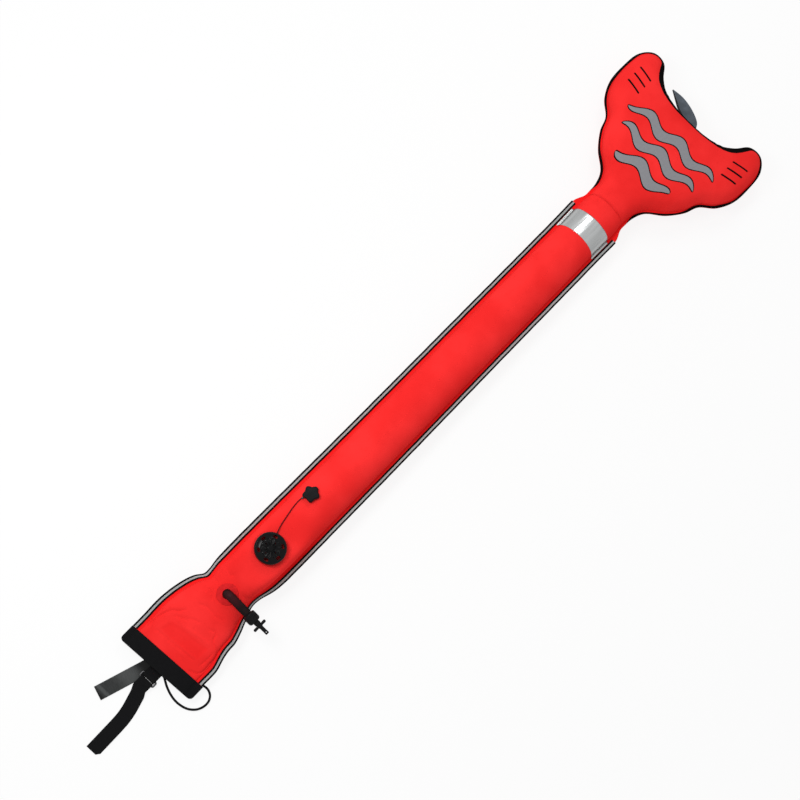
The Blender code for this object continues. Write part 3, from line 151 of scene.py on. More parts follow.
# Turns of the tail webbing on the floor: degrees, start behind the hem and length
TAIL_TURNS = ((14, -32 * MM, 20 * MM), (-13, -76 * MM, 24 * MM))
LOOP_ROUTE = (
    (13, 8, 5.6), (6, 10.4, 5.5), (0, 12.3, 4.6), (-6, 14.3, 3.1), (-12, 16.2, 1.85), (-20, 18.8, 1.55),
    (-40, 25.3, 1.55), (-60, 31.8, 1.55), (-80, 38.3, 1.55), (-92, 42.2, 1.55),
)
LOOP_TURN = -18.0

# The ring's two bars behind the hem: the tab holds one and the tail webbing the other
TAB_BAR = -17 * MM
TAIL_BAR = -26 * MM

FACES = (("front", 1), ("back", -1))
VALVE_HOLE_RADIUS = 23.5 * MM
PATCH_AT = (162.5 * MM, 4.5 * MM)
VALVE_AT = (262 * MM, 6.5 * MM)


def along_x(distance):
    return HEM_X + distance


def node_middle(node):
    low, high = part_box(node)
    return (low + high) / 2.0


def to_world(route):
    """World points of a route given in millimetres from the hem."""
    return np.array(route) * MM + (HEM_X, 0.0, 0.0)


def world_points(distance, y, z):
    """World points from distances behind the hem, y and height."""
    return np.stack(np.broadcast_arrays(along_x(distance), y, z), axis=-1)


def ease(value, start, end):
    """Smooth step from 0 at start to 1 at end."""
    part = np.clip((value - start) / (end - start), 0.0, 1.0)
    return part * part * (3.0 - 2.0 * part)


def hump(value, middle, width):
    """Bell curve of height 1 round a middle."""
    return np.exp(-((value - middle) / width) ** 2)


# Shape of the bag

def smooth_values(keys, values, at):
    """Cubic Hermite values through the keys, level at their ends, peaks and flats."""
    rises = np.diff(values)
    slopes = np.zeros(len(keys))
    inner = (values[2:] - values[:-2]) / (keys[2:] - keys[:-2])
    slopes[1:-1] = np.where(rises[1:] * rises[:-1] > 0.0, inner, 0.0)
    at = np.clip(at, keys[0], keys[-1])
    index = np.clip(np.searchsorted(keys, at, side="right") - 1, 0, len(keys) - 2)
    span = keys[index + 1] - keys[index]
    part = (at - keys[index]) / span
    cubic = part * part * (3.0 - 2.0 * part)
    start = part * (1.0 - part) ** 2 * span * slopes[index]
    end = part * part * (part - 1.0) * span * slopes[index + 1]
    return values[index] + rises[index] * cubic + start + end


PROFILE = np.array(TUBE_PROFILE + tuple((NECK / MM + row[0], *row[1:]) for row in NECK_PROFILE)) * MM
PROFILE[:, 5] /= MM
PROFILE[:, 3] += PROFILE[:, 4] + HALF_GAP + FABRIC


def section(distance):
    """Centre, half width, weld plane, crown height and flatness of the tube at a distance."""
    return [smooth_values(PROFILE[:, 0], PROFILE[:, column], distance) for column in range(1, 6)]


def crown_height(distance, y):
    """Height of a panel's inner face over the weld plane."""
    centre, half, _, crown, flatness = section(distance)
    across = np.clip(np.abs(y - centre) / half, 0.0, 1.0)
    root = np.sqrt(1.0 - across * across)
    return HALF_GAP + crown * np.tanh(flatness * root) / np.tanh(flatness)


def raised_z(distance, y, lift, side=1.0, steps=13):
    """World height of a surface that lies an even lift outside one panel's inner face."""
    turns = np.linspace(-0.5, 0.5, steps) * math.pi
    distance = np.asarray(distance, dtype=float)[..., None]
    heights = crown_height(distance, np.asarray(y)[..., None] + lift * np.sin(turns)) + lift * np.cos(turns)
    return section(distance[..., 0])[2] + side * heights.max(axis=-1)


def curve_through(points, step):
    """Evenly spaced points on a smooth curve through the given points."""
    points = np.asarray(points, dtype=float)
    ends = np.vstack([2.0 * points[0] - points[1], points, 2.0 * points[-1] - points[-2]])
    part = np.linspace(0.0, 1.0, 13)[:-1, None]
    dense = []
    for before, start, end, after in zip(ends, ends[1:], ends[2:], ends[3:]):
        squared = 2.0 * before - 5.0 * start + 4.0 * end - after
        cubed = 3.0 * start - before - 3.0 * end + after
        dense.append(0.5 * (2.0 * start + (end - before) * part + squared * part ** 2 + cubed * part ** 3))
    dense = np.vstack(dense + [points[-1:]])
    whole = line_lengths(dense)[-1]
    return points_at(dense, np.linspace(0.0, whole, max(2, round(whole / step)) + 1))


def line_lengths(line):
    """Length along a line at each of its points."""
    return np.concatenate([[0.0], np.cumsum(np.linalg.norm(np.diff(line, axis=0), axis=1))])


def points_at(line, targets):
    """Points of a line at the target lengths along it."""
    lengths = line_lengths(line)
    return np.stack([np.interp(targets, lengths, column) for column in line.T], axis=1)


def unit(vectors):
    return vectors / np.linalg.norm(vectors, axis=-1, keepdims=True)


def directions(points, closed=False):
    """Direction of a path at each of its points."""
    if closed:
        return unit(np.roll(points, -1, axis=0) - np.roll(points, 1, axis=0))
    return unit(np.gradient(points, axis=0))


def closed_line(corners):
    """A polygon's corners with the first one again at the end."""
    return np.vstack([corners, corners[:1]])


def inside(points, polygon):
    """Which of the points lie inside the closed polygon."""
    x, y = points[:, :1], points[:, 1:2]
    start, end = polygon, np.roll(polygon, -1, axis=0)
    crosses = (end[:, 1] > y) != (start[:, 1] > y)
    rise = np.where(start[:, 1] == end[:, 1], 1.0, start[:, 1] - end[:, 1])
    meets = (start[:, 0] - end[:, 0]) * (y - end[:, 1]) / rise + end[:, 0]
    return (crosses & (x < meets)).sum(axis=1) % 2 == 1


def line_distance(points, line):
    """Distance of each point from a line, and the length along the line of its nearest place."""
    step = np.diff(line, axis=0)
    offset = points[:, None, :] - line[None, :-1, :]
    squared = np.maximum((step ** 2).sum(axis=1), 1e-12)
    part = np.clip((offset * step).sum(axis=2) / squared, 0.0, 1.0)
    gaps = np.linalg.norm(offset - part[..., None] * step, axis=2)
    nearest = gaps.argmin(axis=1)
    rows = np.arange(len(points))
    lengths = line_lengths(line)
    at = lengths[nearest] + part[rows, nearest] * np.sqrt(squared[nearest])
    return gaps[rows, nearest], at


def creased(distance, y, creases):
    """How far the creases sink the fabric at each place."""
    points = np.stack([distance, y], axis=1)
    sunk = np.zeros(len(points))
    for line, depth, width in creases:
        path = curve_through(np.array(line) * MM, 4 * MM)
        gap, at = line_distance(points, path)
        left = line_lengths(path)[-1] - at
        fade = ease(at, -0.5 * MM, 9 * MM) * ease(left, -0.5 * MM, 9 * MM)
        sunk += fade * depth * MM * hump(gap, 0.0, width * MM)
    return sunk


def pocket_rim(points):
    """Which points lie in the pocket, and how far each is from its rim."""
    return inside(points, POCKET), line_distance(points, closed_line(POCKET))[0]


def ripples(at, periods):
    """Uneven waves of about -1 to 1 along a weld."""
    waves = sum(np.sin(TURN * at / (period * MM) + 1.7 * k) for k, period in enumerate(periods))
    return waves / len(periods)


def tube_relief(distance, y, depth):
    """Folds, creases and puckers of the tube, as a rise of the fabric."""
    centre, half = section(distance)[:2]
    inward = half - np.abs(y - centre)
    side = np.sign(y - centre)
    strength = 0.1 + 0.75 * hump(distance, 178 * MM, 34 * MM)
    strength = strength + 0.35 * hump(distance, 112 * MM, 26 * MM)
    pucker = ripples(distance + 5 * MM * side, (8.6, 12.9, 6.1)) * strength
    pucker = pucker * np.exp(-np.clip(inward, 0.0, 1.0) / (9 * MM)) * ease(inward, -1 * MM, 3 * MM)
    within, rim = pocket_rim(np.stack([distance, y], axis=1))
    sunk = creased(distance, y, CREASES + NECK_CREASES) + 0.5 * MM * within * ease(rim, 0.0, 5 * MM)
    billow = 0.35 * MM * np.sin(TURN * distance / (74 * MM)) * np.sin(TURN * y / (61 * MM) + 0.8)
    rise = pucker * MM - sunk + billow * ease(distance, 30 * MM, 60 * MM) * (inward > 0.0)
    valve = np.hypot(distance - VALVE_AT[0], y - VALVE_AT[1])
    patch = np.hypot(distance - PATCH_AT[0], y - PATCH_AT[1])
    silver = np.abs(distance - SILVER_END + SILVER_WIDTH / 2.0)
    for gap, start, end in ((valve, 31 * MM, 38 * MM), (patch, 18.5 * MM, 25 * MM),
                            (silver, SILVER_WIDTH / 2.0, SILVER_WIDTH), (inward, -1 * MM, 1 * MM),
                            (distance, BAND_DEPTH, BAND_DEPTH + 6 * MM)):
        rise = rise * ease(gap, start, end)
    return rise * depth


def hem_distance(distance, y, corner=0.0):
    """Distance moved in at the mouth's rounded corners, and askew as the mouth lies."""
    askew = (-1.45 * MM - 0.0513 * y) * (1.0 - ease(distance, 25 * MM, 115 * MM))
    centre, half = section(0.0)[:2]
    beyond = np.clip(np.abs(y - centre) - (half + FABRIC_IN_TAPE + BAND_OVERHANG - corner), 0.0, corner)
    shift = corner - np.sqrt(corner ** 2 - beyond ** 2)
    return distance + askew + shift * np.clip(1.0 - distance / BAND_DEPTH, 0.0, 1.0)


def curled(distance, y, z):
    """Turn the flat edges down where the pinched waist twists them, more on the -Y side."""
    centre, half, plane = section(distance)[:3]
    side = np.sign(y - centre)
    left = 35.0 * hump(distance, 180 * MM, 20 * MM)
    right = 50.0 * hump(distance, 188 * MM, 42 * MM)
    turn = np.radians(np.where(side > 0.0, left, right))
    reach = np.abs(y - centre) - half
    rise = z - plane
    turned_y = centre + side * (half + reach * np.cos(turn) + rise * np.sin(turn))
    turned_z = plane - reach * np.sin(turn) + rise * np.cos(turn)
    return np.where(reach > 0.0, turned_y, y), np.where(reach > 0.0, turned_z, z)


def tube_rows():
    """Distances of the skin's rows, close where it is creased or its width changes."""
    spans = (
        (0.0, BAND_DEPTH, 4.0), (BAND_DEPTH, 150 * MM, 2.0), (150 * MM, 335 * MM, 2.6),
        (335 * MM, TAPE_END - 60 * MM, 8.0), (TAPE_END - 60 * MM, TAPE_END - 0.5 * MM, 4.0),
        (TAPE_END - 0.5 * MM, TAPE_END + 0.5 * MM, 1.0), (TAPE_END + 0.5 * MM, NECK, 3.5),
    )
    rows = [0.0]
    for start, end, step in spans:
        rows.extend(np.linspace(start, end, max(2, round((end - start) / (step * MM)) + 1))[1:])
    return rows


def across_tube(distance, reaches, steps):
    """Y of points across the tube: the crown, and flat places at their reach past it, outermost first."""
    centre, half = section(distance)[:2]
    crown = -half * np.cos(np.linspace(0.0, math.pi, steps + 1))
    flat = half + reaches
    return centre + np.concatenate([-flat, crown, flat[::-1]])


def across_line(distance):
    """Y of the skin's points across the tube, from one edge to the other."""
    taper = 1.0 - ease(distance, TAPE_END + 0.5 * MM, NECK - 5 * MM)
    edge = WELD_WIDTH + (FABRIC_IN_TAPE - WELD_WIDTH) * taper
    return across_tube(distance, edge * (1.0 - np.array(WELD_ROWS[:-1]) / WELD_ROWS[-1]), CROWN_STEPS)


def head_edge(step=5 * MM):
    """Outline of the head from the neck's +Y end round to its -Y end."""
    start = (NECK, section(NECK)[1] + WELD_WIDTH)
    corners = [start] + [(NECK + x * MM, y * MM) for x, y in HEAD_OUTLINE]
    half = curve_through(corners, step)
    return np.vstack([half, half[-2::-1] * (1.0, -1.0)])


def inset_line(line, width):
    """The head's outline moved inwards, keeping its ends on the neck."""
    along = directions(line)
    moved = line + np.stack([along[:, 1], -along[:, 0]], axis=1) * width
    moved[0] = (NECK, line[0, 1] - width)
    moved[-1] = (NECK, line[-1, 1] + width)
    return moved


def head_net(seam):
    """Flat points and triangles of the head, in rows along its edge."""
    outer = head_edge()
    weld = inset_line(outer, WELD_WIDTH)
    seam_line = np.stack([np.full(len(seam), NECK), seam[::-1]], axis=1)
    points = [seam_line]
    edges = [(k, k + 1) for k in range(len(seam) - 1)]
    count = len(seam)
    for row, part in enumerate(WELD_ROWS):
        line = inset_line(outer, part * MM)[1:-1]
        ends = (row, len(seam) - 1 - row)
        edges += [(ends[0], count)] + [(count + k, count + k + 1) for k in range(len(line) - 1)]
        edges.append((count + len(line) - 1, ends[1]))
        points.append(line)
        count += len(line)
    area = np.vstack([weld[::-1][1:-1], seam_line[4:-4]])
    weld_line = closed_line(area)
    for reach in (0.5, 1.4, 2.8, 5.0):
        near = inset_line(outer, WELD_WIDTH + reach * MM)[1:-1]
        keep = inside(near, area) & (line_distance(near, weld_line)[0] > 0.8 * reach * MM)
        points.append(near[keep])
    step = 5 * MM
    row_step = step * math.cos(math.radians(30.0))
    rows = int(300 * MM / row_step)
    columns = int(165 * MM / step)
    grid = np.array([(NECK + row_step * (row + 0.9), step * (column + 0.5 * (row % 2)))
                     for row in range(rows) for column in range(-columns, columns + 1)])
    keep = inside(grid, area)
    keep[keep] &= line_distance(grid[keep], weld_line)[0] > 7.6 * MM
    points.append(grid[keep])
    flat = [Vector(point) for point in np.vstack(points)]
    corners, _, faces, _, _, _ = geometry.delaunay_2d_cdt(flat, edges, [], 1, 1e-7)
    corners = np.array(corners)
    faces = np.array([face for face in faces if len(face) == 3])
    return corners, faces, area, outer


def head_fullness(corners, faces, area):
    """Membrane under even pressure, fixed along the weld and matched to the tube's neck."""
    triangles = corners[faces]
    kept = inside(triangles.mean(axis=1), area)
    faces, triangles = faces[kept], triangles[kept]
    ones = np.ones((len(faces), 3, 1))
    grids = np.concatenate([ones, triangles], axis=2)
    sizes = np.abs(np.linalg.det(grids)) / 2.0
    whole = sizes > 1e-12
    faces, grids, sizes = faces[whole], grids[whole], sizes[whole]
    slopes = np.linalg.inv(grids)[:, 1:, :]
    parts = sizes[:, None, None] * np.einsum("fki,fkj->fij", slopes, slopes)
    count = len(corners)
    stiffness = np.zeros((count, count))
    load = np.zeros(count)
    rows = np.repeat(faces, 3, axis=1)
    columns = np.tile(faces, (1, 3))
    np.add.at(stiffness, (rows.ravel(), columns.ravel()), parts.reshape(len(faces), 9).ravel())
    np.add.at(load, faces.ravel(), np.repeat(sizes / 3.0, 3))
    free = np.zeros(count, dtype=bool)
    free[faces.ravel()] = True
    centre, half, _, _, flatness = section(NECK)
    value = np.zeros(count)
    at_neck = np.abs(corners[:, 0] - NECK) < 0.01 * MM
    value[at_neck] = np.maximum(half ** 2 - (corners[at_neck, 1] - centre) ** 2, 0.0) / 2.0
    free &= ~at_neck
    free[free] &= line_distance(corners[free], closed_line(area))[0] > 0.05 * MM
    matrix = stiffness[np.ix_(free, free)]
    right = load[free] - stiffness[np.ix_(free, ~free)] @ value[~free]
    value[free] = np.linalg.solve(matrix, right)
    length = half / flatness
    return HEAD_FULLNESS * np.tanh(np.sqrt(2.0 * np.maximum(value, 0.0)) / length)


def head_relief(corners, outer, depth):
    """Puckers along the head's weld and the creases by the neck, as a rise of the fabric."""
    gap, at = line_distance(corners, outer)
    inward = gap - WELD_WIDTH
    x, y = corners[:, 0] - NECK, np.abs(corners[:, 1])
    shoulder = hump(x, 62 * MM, 30 * MM)
    arm = hump(x, 142 * MM, 24 * MM) * (y > 90 * MM)
    front = hump(y, 72 * MM, 34 * MM) * (x > 200 * MM)
    strength = 0.16 + 0.85 * shoulder + 0.4 * arm + 0.75 * front
    pucker = ripples(at, (11.3, 15.9, 7.7)) * strength * np.exp(-np.clip(inward, 0.0, 1.0) / (15 * MM))
    rise = pucker * MM * ease(inward, 0.0, 4 * MM) - creased(corners[:, 0], corners[:, 1], NECK_CREASES)
    return rise * depth * ease(corners[:, 0], NECK - 1 * MM, NECK + 6 * MM)


# Meshes

def grid_mesh(points, closed=False, caps=False, looped=False, stripes=None):
    """Surface through rows of points, with its own UV map in metres.

    closed joins the last column to the first, looped the last row to the first, caps fills both open
    ends, and stripes gives each column of faces its material.
    """
    points = np.asarray(points, dtype=float)
    if closed:
        points = np.concatenate([points, points[:, :1]], axis=1)
    if looped:
        points = np.concatenate([points, points[:1]], axis=0)
    rows, columns = points.shape[:2]
    mesh = bmesh.new()
    layer = mesh.loops.layers.uv.new("UVMap")
    bmesh.ops.create_grid(mesh, x_segments=columns - 1, y_segments=rows - 1, size=0.5)
    mesh.verts.ensure_lookup_table()
    for vert, point in zip(mesh.verts, points.reshape(-1, 3)):
        vert.co = point
    widths = np.linalg.norm(np.diff(points, axis=1), axis=2).cumsum(axis=1)
    lengths = np.linalg.norm(np.diff(points, axis=0), axis=2).mean(axis=1).cumsum()
    widths = np.concatenate([np.zeros((rows, 1)), widths], axis=1).ravel()
    lengths = np.repeat(np.concatenate([[0.0], lengths]), columns)
    for face in mesh.faces:
        for loop in face.loops:
            loop[layer].uv = (widths[loop.vert.index], lengths[loop.vert.index])
        if stripes is not None:
            face.material_index = stripes[min(vert.index % columns for vert in face.verts)]
    if closed or looped:
        bmesh.ops.remove_doubles(mesh, verts=mesh.verts[:], dist=0.001 * MM)
    if caps:
        close_ends(mesh)
    if closed:
        face_outwards(mesh)
    return mesh


def face_towards(mesh, direction):
    """Turn an open surface over if its faces point against the direction."""
    mesh.normal_update()
    total = Vector((0.0, 0.0, 0.0))
    for face in mesh.faces:
        total += face.normal * face.calc_area()
    if total.dot(Vector(direction)) < 0.0:
        bmesh.ops.reverse_faces(mesh, faces=mesh.faces[:])


def path_frames(points, closed=False):
    """Two directions square to the path at each point, carried along it without twist."""
    along = directions(np.asarray(points), closed)
    first = np.cross(along[0], UP)
    if np.linalg.norm(first) < 0.1:
        first = np.cross(along[0], (1.0, 0.0, 0.0))
    sides = [unit(first)]
    for direction in along[1:]:
        sides.append(unit(sides[-1] - direction * np.dot(sides[-1], direction)))
    sides = np.array(sides)
    return sides, np.cross(sides, along)


def rings_along(points, radii, sides, closed=False):
    """Circles of points square to a path."""
    first, second = path_frames(points, closed)
    angles = np.linspace(0.0, TURN, sides, endpoint=False)
    radii = np.broadcast_to(radii, len(points))[:, None, None]
    around = np.cos(angles)[None, :, None] * first[:, None, :]
    around = around + np.sin(angles)[None, :, None] * second[:, None, :]
    return np.asarray(points)[:, None, :] + radii * around


def tube_mesh(points, radius, sides=16, closed=False):
    rings = rings_along(points, radius, sides, closed)
    return grid_mesh(rings, closed=True, caps=not closed, looped=closed)


def strip_mesh(points, across, width, thickness, selvage=0.0):
    """Flat strap along a path, with rounded edges; selvage thickens its two edges."""
    across = np.array(across)
    up = unit(np.cross(directions(points), across))
    half, thick = width / 2.0, thickness / 2.0
    rim = 0.45 * thickness
    top = [(-half + rim, thick), (-half + 4.0 * rim, thick + selvage), (-half + 7.0 * rim, thick)]
    top += [(part * half, thick) for part in (-0.35, 0.0, 0.35)]
    top += [(-x, z) for x, z in top[2::-1]]
    outline = top + [(half, 0.4 * thick), (half, -0.4 * thick)]
    outline += [(x, -z) for x, z in reversed(top)] + [(-half, -0.4 * thick), (-half, 0.4 * thick)]
    rows = [points + across * x + up * z for x, z in outline]
    return grid_mesh(np.stack(rows, axis=1), closed=True, caps=True)


def rounded(corners, segments=4, closed=True):
    """Outline through (a, b, fillet) corners, each with its own rounding."""
    result = []
    last = len(corners) - 1
    for k, (a, b, fillet) in enumerate(corners):
        here = np.array((a, b), dtype=float)
        if fillet == 0.0 or (not closed and k in (0, last)):
            result.append(here)
            continue
        before = unit(np.array(corners[k - 1][:2]) - here)
        after = unit(np.array(corners[(k + 1) % len(corners)][:2]) - here)
        half_angle = math.acos(np.clip(before @ after, -1.0, 1.0)) / 2.0
        middle = unit(before + after)
        centre = here + middle * fillet / math.sin(half_angle)
        start = here + before * fillet / math.tan(half_angle) - centre
        end = here + after * fillet / math.tan(half_angle) - centre
        for part in np.linspace(0.0, 1.0, segments + 1):
            spoke = start * (1.0 - part) + end * part
            result.append(centre + unit(spoke) * fillet)
    return result


def in_mm(rows):
    """Rows of numbers in millimetres, as tuples in metres."""
    return [tuple(value * MM for value in row) for row in rows]


def turned(profile, steps, place=(0.0, 0.0, 0.0), towards=UP):
    """Solid of revolution from a profile of (radius, height), turned round an axis at a place."""
    mesh = bmesh.new()
    verts = [mesh.verts.new((radius, 0.0, height)) for radius, height in profile]
    edges = [mesh.edges.new(pair) for pair in zip(verts, verts[1:])]
    if profile[0][0] > 1e-6 or profile[-1][0] > 1e-6:
        edges.append(mesh.edges.new((verts[-1], verts[0])))
    bmesh.ops.spin(mesh, geom=verts + edges, cent=(0.0, 0.0, 0.0), axis=(0.0, 0.0, 1.0),
                   dvec=(0.0, 0.0, 0.0), angle=TURN, steps=steps, use_merge=True, use_duplicate=False)
    bmesh.ops.remove_doubles(mesh, verts=mesh.verts[:], dist=0.002 * MM)
    face_outwards(mesh)
    place_mesh(mesh, place, towards)
    return mesh


def lathe(outline, steps, place=(0.0, 0.0, 0.0), towards=UP, closed=False):
    """Solid turned round an axis from corners of (radius, height, fillet) in millimetres."""
    return turned(rounded(in_mm(outline), closed=closed), steps, place, towards)


def place_mesh(mesh, place, towards):
    """Turn a mesh from +Z towards a direction and put it in its place."""
    turn = Vector(UP).rotation_difference(Vector(towards)).to_matrix().to_4x4()
    bmesh.ops.transform(mesh, matrix=Matrix.Translation(Vector(place)) @ turn, verts=mesh.verts[:])


def add_block(mesh, size, round_off, matrix):
    """Add a rounded block to a mesh."""
    earlier = set(mesh.verts)
    made = bmesh.ops.create_cube(mesh, size=1.0)["verts"]
    bmesh.ops.scale(mesh, vec=size, verts=made)
    edges = [edge for edge in mesh.edges if edge.verts[0] not in earlier]
    bevel_edges(mesh, edges, round_off, 3)
    made = [vert for vert in mesh.verts if vert not in earlier]
    bmesh.ops.transform(mesh, matrix=matrix, verts=made)


def add_cylinder(mesh, radius, depth, matrix, segments=20):
    """Add a closed cylinder along a matrix's Z axis to a mesh."""
    bmesh.ops.create_cone(mesh, cap_ends=True, segments=segments, radius1=radius, radius2=radius,
                          depth=depth, matrix=matrix)


def move_mesh(mesh, step):
    bmesh.ops.translate(mesh, vec=step, verts=mesh.verts[:])


def face_outwards(mesh):
    bmesh.ops.recalc_face_normals(mesh, faces=mesh.faces[:])


def bevel_edges(mesh, edges, offset, segments):
    bmesh.ops.bevel(mesh, geom=edges, offset=offset, offset_type="OFFSET", segments=segments, profile=0.5,
                    affect="EDGES", material=-1)


def polar(vert):
    """A vertex's distance from the Z axis and its angle round it."""
    return vert.co.xy.length, math.atan2(vert.co.y, vert.co.x)


def close_ends(mesh):
    bmesh.ops.holes_fill(mesh, edges=[edge for edge in mesh.edges if edge.is_boundary], sides=0)


def scene_object(name, data):
    item = bpy.data.objects.new(name, data)
    bpy.context.scene.collection.objects.link(item)
    return item


def mesh_object(name, mesh):
    """Make a bmesh an object in the scene."""
    data = bpy.data.meshes.new(name)
    mesh.to_mesh(data)
    mesh.free()
    return scene_object(name, data)


def add_piece(name, mesh, finishes, replaces=None, body="bag", smooth=40.0, wall=0.0):
    """Make a bmesh an object with its materials, parent it to its body and hide the CAD part it replaces."""
    item = mesh_object(name, mesh)
    item.data.shade_smooth()
    item.data.set_sharp_from_angle(angle=math.radians(smooth))
    for finish in finishes:
        item.data.materials.append(finish_named(finish))
    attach(item, body)
    if replaces:
        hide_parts(replaces)
    if wall > 0.0:
        solid = item.modifiers.new("wall", "SOLIDIFY")
        solid.thickness = wall
        solid.offset = 1.0
        solid.use_even_offset = True
        solid.use_quality_normals = True
    return item


def add_stitches(name, lines, up, spacing, body="bag"):
    """Short rounded stitches along lines, a spacing of so many stitch lengths apart."""
    sizes = bpy.context.scene.buoy_sizes
    length, width = sizes.stitch_length, sizes.stitch_width
    mesh = bmesh.new()
    for line in lines:
        whole = line_lengths(line)[-1]
        count = max(1, int(whole / (spacing * length)))
        targets = (np.arange(count) + 0.5) * whole / count
        ahead = points_at(line, targets + 0.1 * MM) - points_at(line, targets - 0.1 * MM)
        for place, direction in zip(points_at(line, targets), ahead):
            along = Vector(direction).normalized()
            across = Vector(up).cross(along).normalized()
            axes = (along * length / 2.0, across * width / 2.0, along.cross(across) * width / 2.0)
            matrix = Matrix.Translation(Vector(place)) @ Matrix(axes).transposed().to_4x4()
            bmesh.ops.create_icosphere(mesh, subdivisions=1, radius=1.0, matrix=matrix)
    add_piece(name, mesh, ["thread"], body=body, smooth=80.0)


def combine(mesh, cutter, operation="DIFFERENCE"):
    """Cut or join two closed meshes and return the result as a new bmesh."""
    items = (mesh_object("kept", mesh), mesh_object("cutter", cutter))
    boolean = items[0].modifiers.new("cut", "BOOLEAN")
    boolean.operation = operation
    boolean.solver = "EXACT"
    boolean.object = items[1]
    bpy.context.view_layer.update()
    depsgraph = bpy.context.evaluated_depsgraph_get()
    shaped = bpy.data.meshes.new_from_object(items[0].evaluated_get(depsgraph))
    result = bmesh.new()
    result.from_mesh(shaped)
    bpy.data.meshes.remove(shaped)
    for item in items:
        data = item.data
        bpy.data.objects.remove(item, do_unlink=True)
        bpy.data.meshes.remove(data)
    return result


# Materials

PRINT_BLACK = (0.006, 0.005, 0.005)
# Printed ribbons: distance from the neck and reach to each side in millimetres, and phase of the wave
RIBBONS = ((84, 62, 0.4), (126, 90, 1.5), (168, 104, 2.6))
# Printed strokes on each arm: distances from the neck in millimetres
STROKES = (196, 214, 232)


class Nodes:
    """A node tree, with short ways to add its nodes and join them."""

    def __init__(self, tree):
        self.tree = tree

    def add(self, kind, inputs=None, **settings):
        node = self.tree.nodes.new("ShaderNode" + kind)
        for setting, value in settings.items():
            setattr(node, setting, value)
        for key, value in (inputs or {}).items():
            self.feed(node.inputs[key], value)
        return node

    def feed(self, socket, value):
        if isinstance(value, bpy.types.NodeSocket):
            self.tree.links.new(value, socket)
        else:
            socket.default_value = value

    def math(self, operation, *values):
        return self.add("Math", dict(enumerate(values)), operation=operation).outputs[0]

    def times(self, first, second):
        return self.math("MULTIPLY", first, second)

    def apart(self, first, second):
        """Size of the difference between two values."""
        return self.math("ABSOLUTE", self.math("SUBTRACT", first, second))


class Shader(Nodes):
    """One procedural material: a Principled shader and the nodes that feed it."""

    def __init__(self, name, colour, roughness, specular=0.5, metallic=0.0):
        self.material = bpy.data.materials.new(name)
        self.material.use_nodes = True
        super().__init__(self.material.node_tree)
        self.surface = self.tree.nodes["Principled BSDF"]
        self.normal = None
        self.set("Base Color", (*colour, 1.0))
        self.set("Roughness", roughness)
        self.set("Specular IOR Level", specular)
        self.set("Metallic", metallic)

    def set(self, socket, value):
        self.feed(self.surface.inputs[socket], value)

    def place(self, kind="Object", scale=(1.0, 1.0, 1.0), move=(0.0, 0.0, 0.0), turn=0.0):
        source = self.add("TexCoord").outputs[kind]
        inputs = {"Vector": source, "Scale": scale, "Location": move, "Rotation": (0.0, 0.0, turn)}
        return self.add("Mapping", inputs).outputs["Vector"]

    def axes(self):
        """X, y and z on the object."""
        return self.add("SeparateXYZ", {0: self.add("TexCoord").outputs["Object"]}).outputs

    def noise(self, size, detail=2.0, roughness=0.5, at=None):
        """Noise whose patches are about the given size in metres."""
        vector = self.place() if at is None else at
        inputs = {"Vector": vector, "Scale": 1.0 / size, "Detail": detail, "Roughness": roughness}
        return self.add("TexNoise", inputs).outputs[0]

    def wave(self, vector, period, distortion=0.0, **settings):
        """Bands or rings of the given period in metres."""
        inputs = {"Vector": vector, "Scale": 0.31416 / period, "Distortion": distortion}
        return self.add("TexWave", inputs, **settings).outputs["Fac"]

    def between(self, value, low, high, start=0.0, end=1.0):
        inputs = {"Value": value, "From Min": low, "From Max": high, "To Min": start, "To Max": end}
        return self.add("MapRange", inputs, interpolation_type="SMOOTHSTEP").outputs[0]

    def until(self, value, low, high):
        """1 up to the low value and 0 from the high one."""
        return self.between(value, low, high, 1.0, 0.0)

    def mix(self, factor, first, second):
        """Colour from first to second."""
        inputs = {0: factor, 6: self.solid(first), 7: self.solid(second)}
        return self.add("Mix", inputs, data_type="RGBA").outputs[2]

    def solid(self, colour):
        return colour if isinstance(colour, bpy.types.NodeSocket) else (*colour[:3], 1.0)

    def attribute(self, name):
        return self.add("Attribute", attribute_name=name).outputs["Fac"]

    def shade(self, value, low, high, first, second):
        """Base colour from first to second as a value goes from low to high."""
        self.set("Base Color", self.mix(self.between(value, low, high), first, second))

    def rough(self, value, low, high, start, end):
        """Roughness from start to end as a value goes from low to high."""
        self.set("Roughness", self.between(value, low, high, start, end))

    def bump(self, height, depth, strength=1.0):
        inputs = {"Height": height, "Distance": depth, "Strength": strength}
        if self.normal is not None:
            inputs["Normal"] = self.normal
        self.normal = self.add("Bump", inputs).outputs["Normal"]
        self.set("Normal", self.normal)


def tinted(colour, factor):
    return tuple(min(part * factor, 1.0) for part in colour)


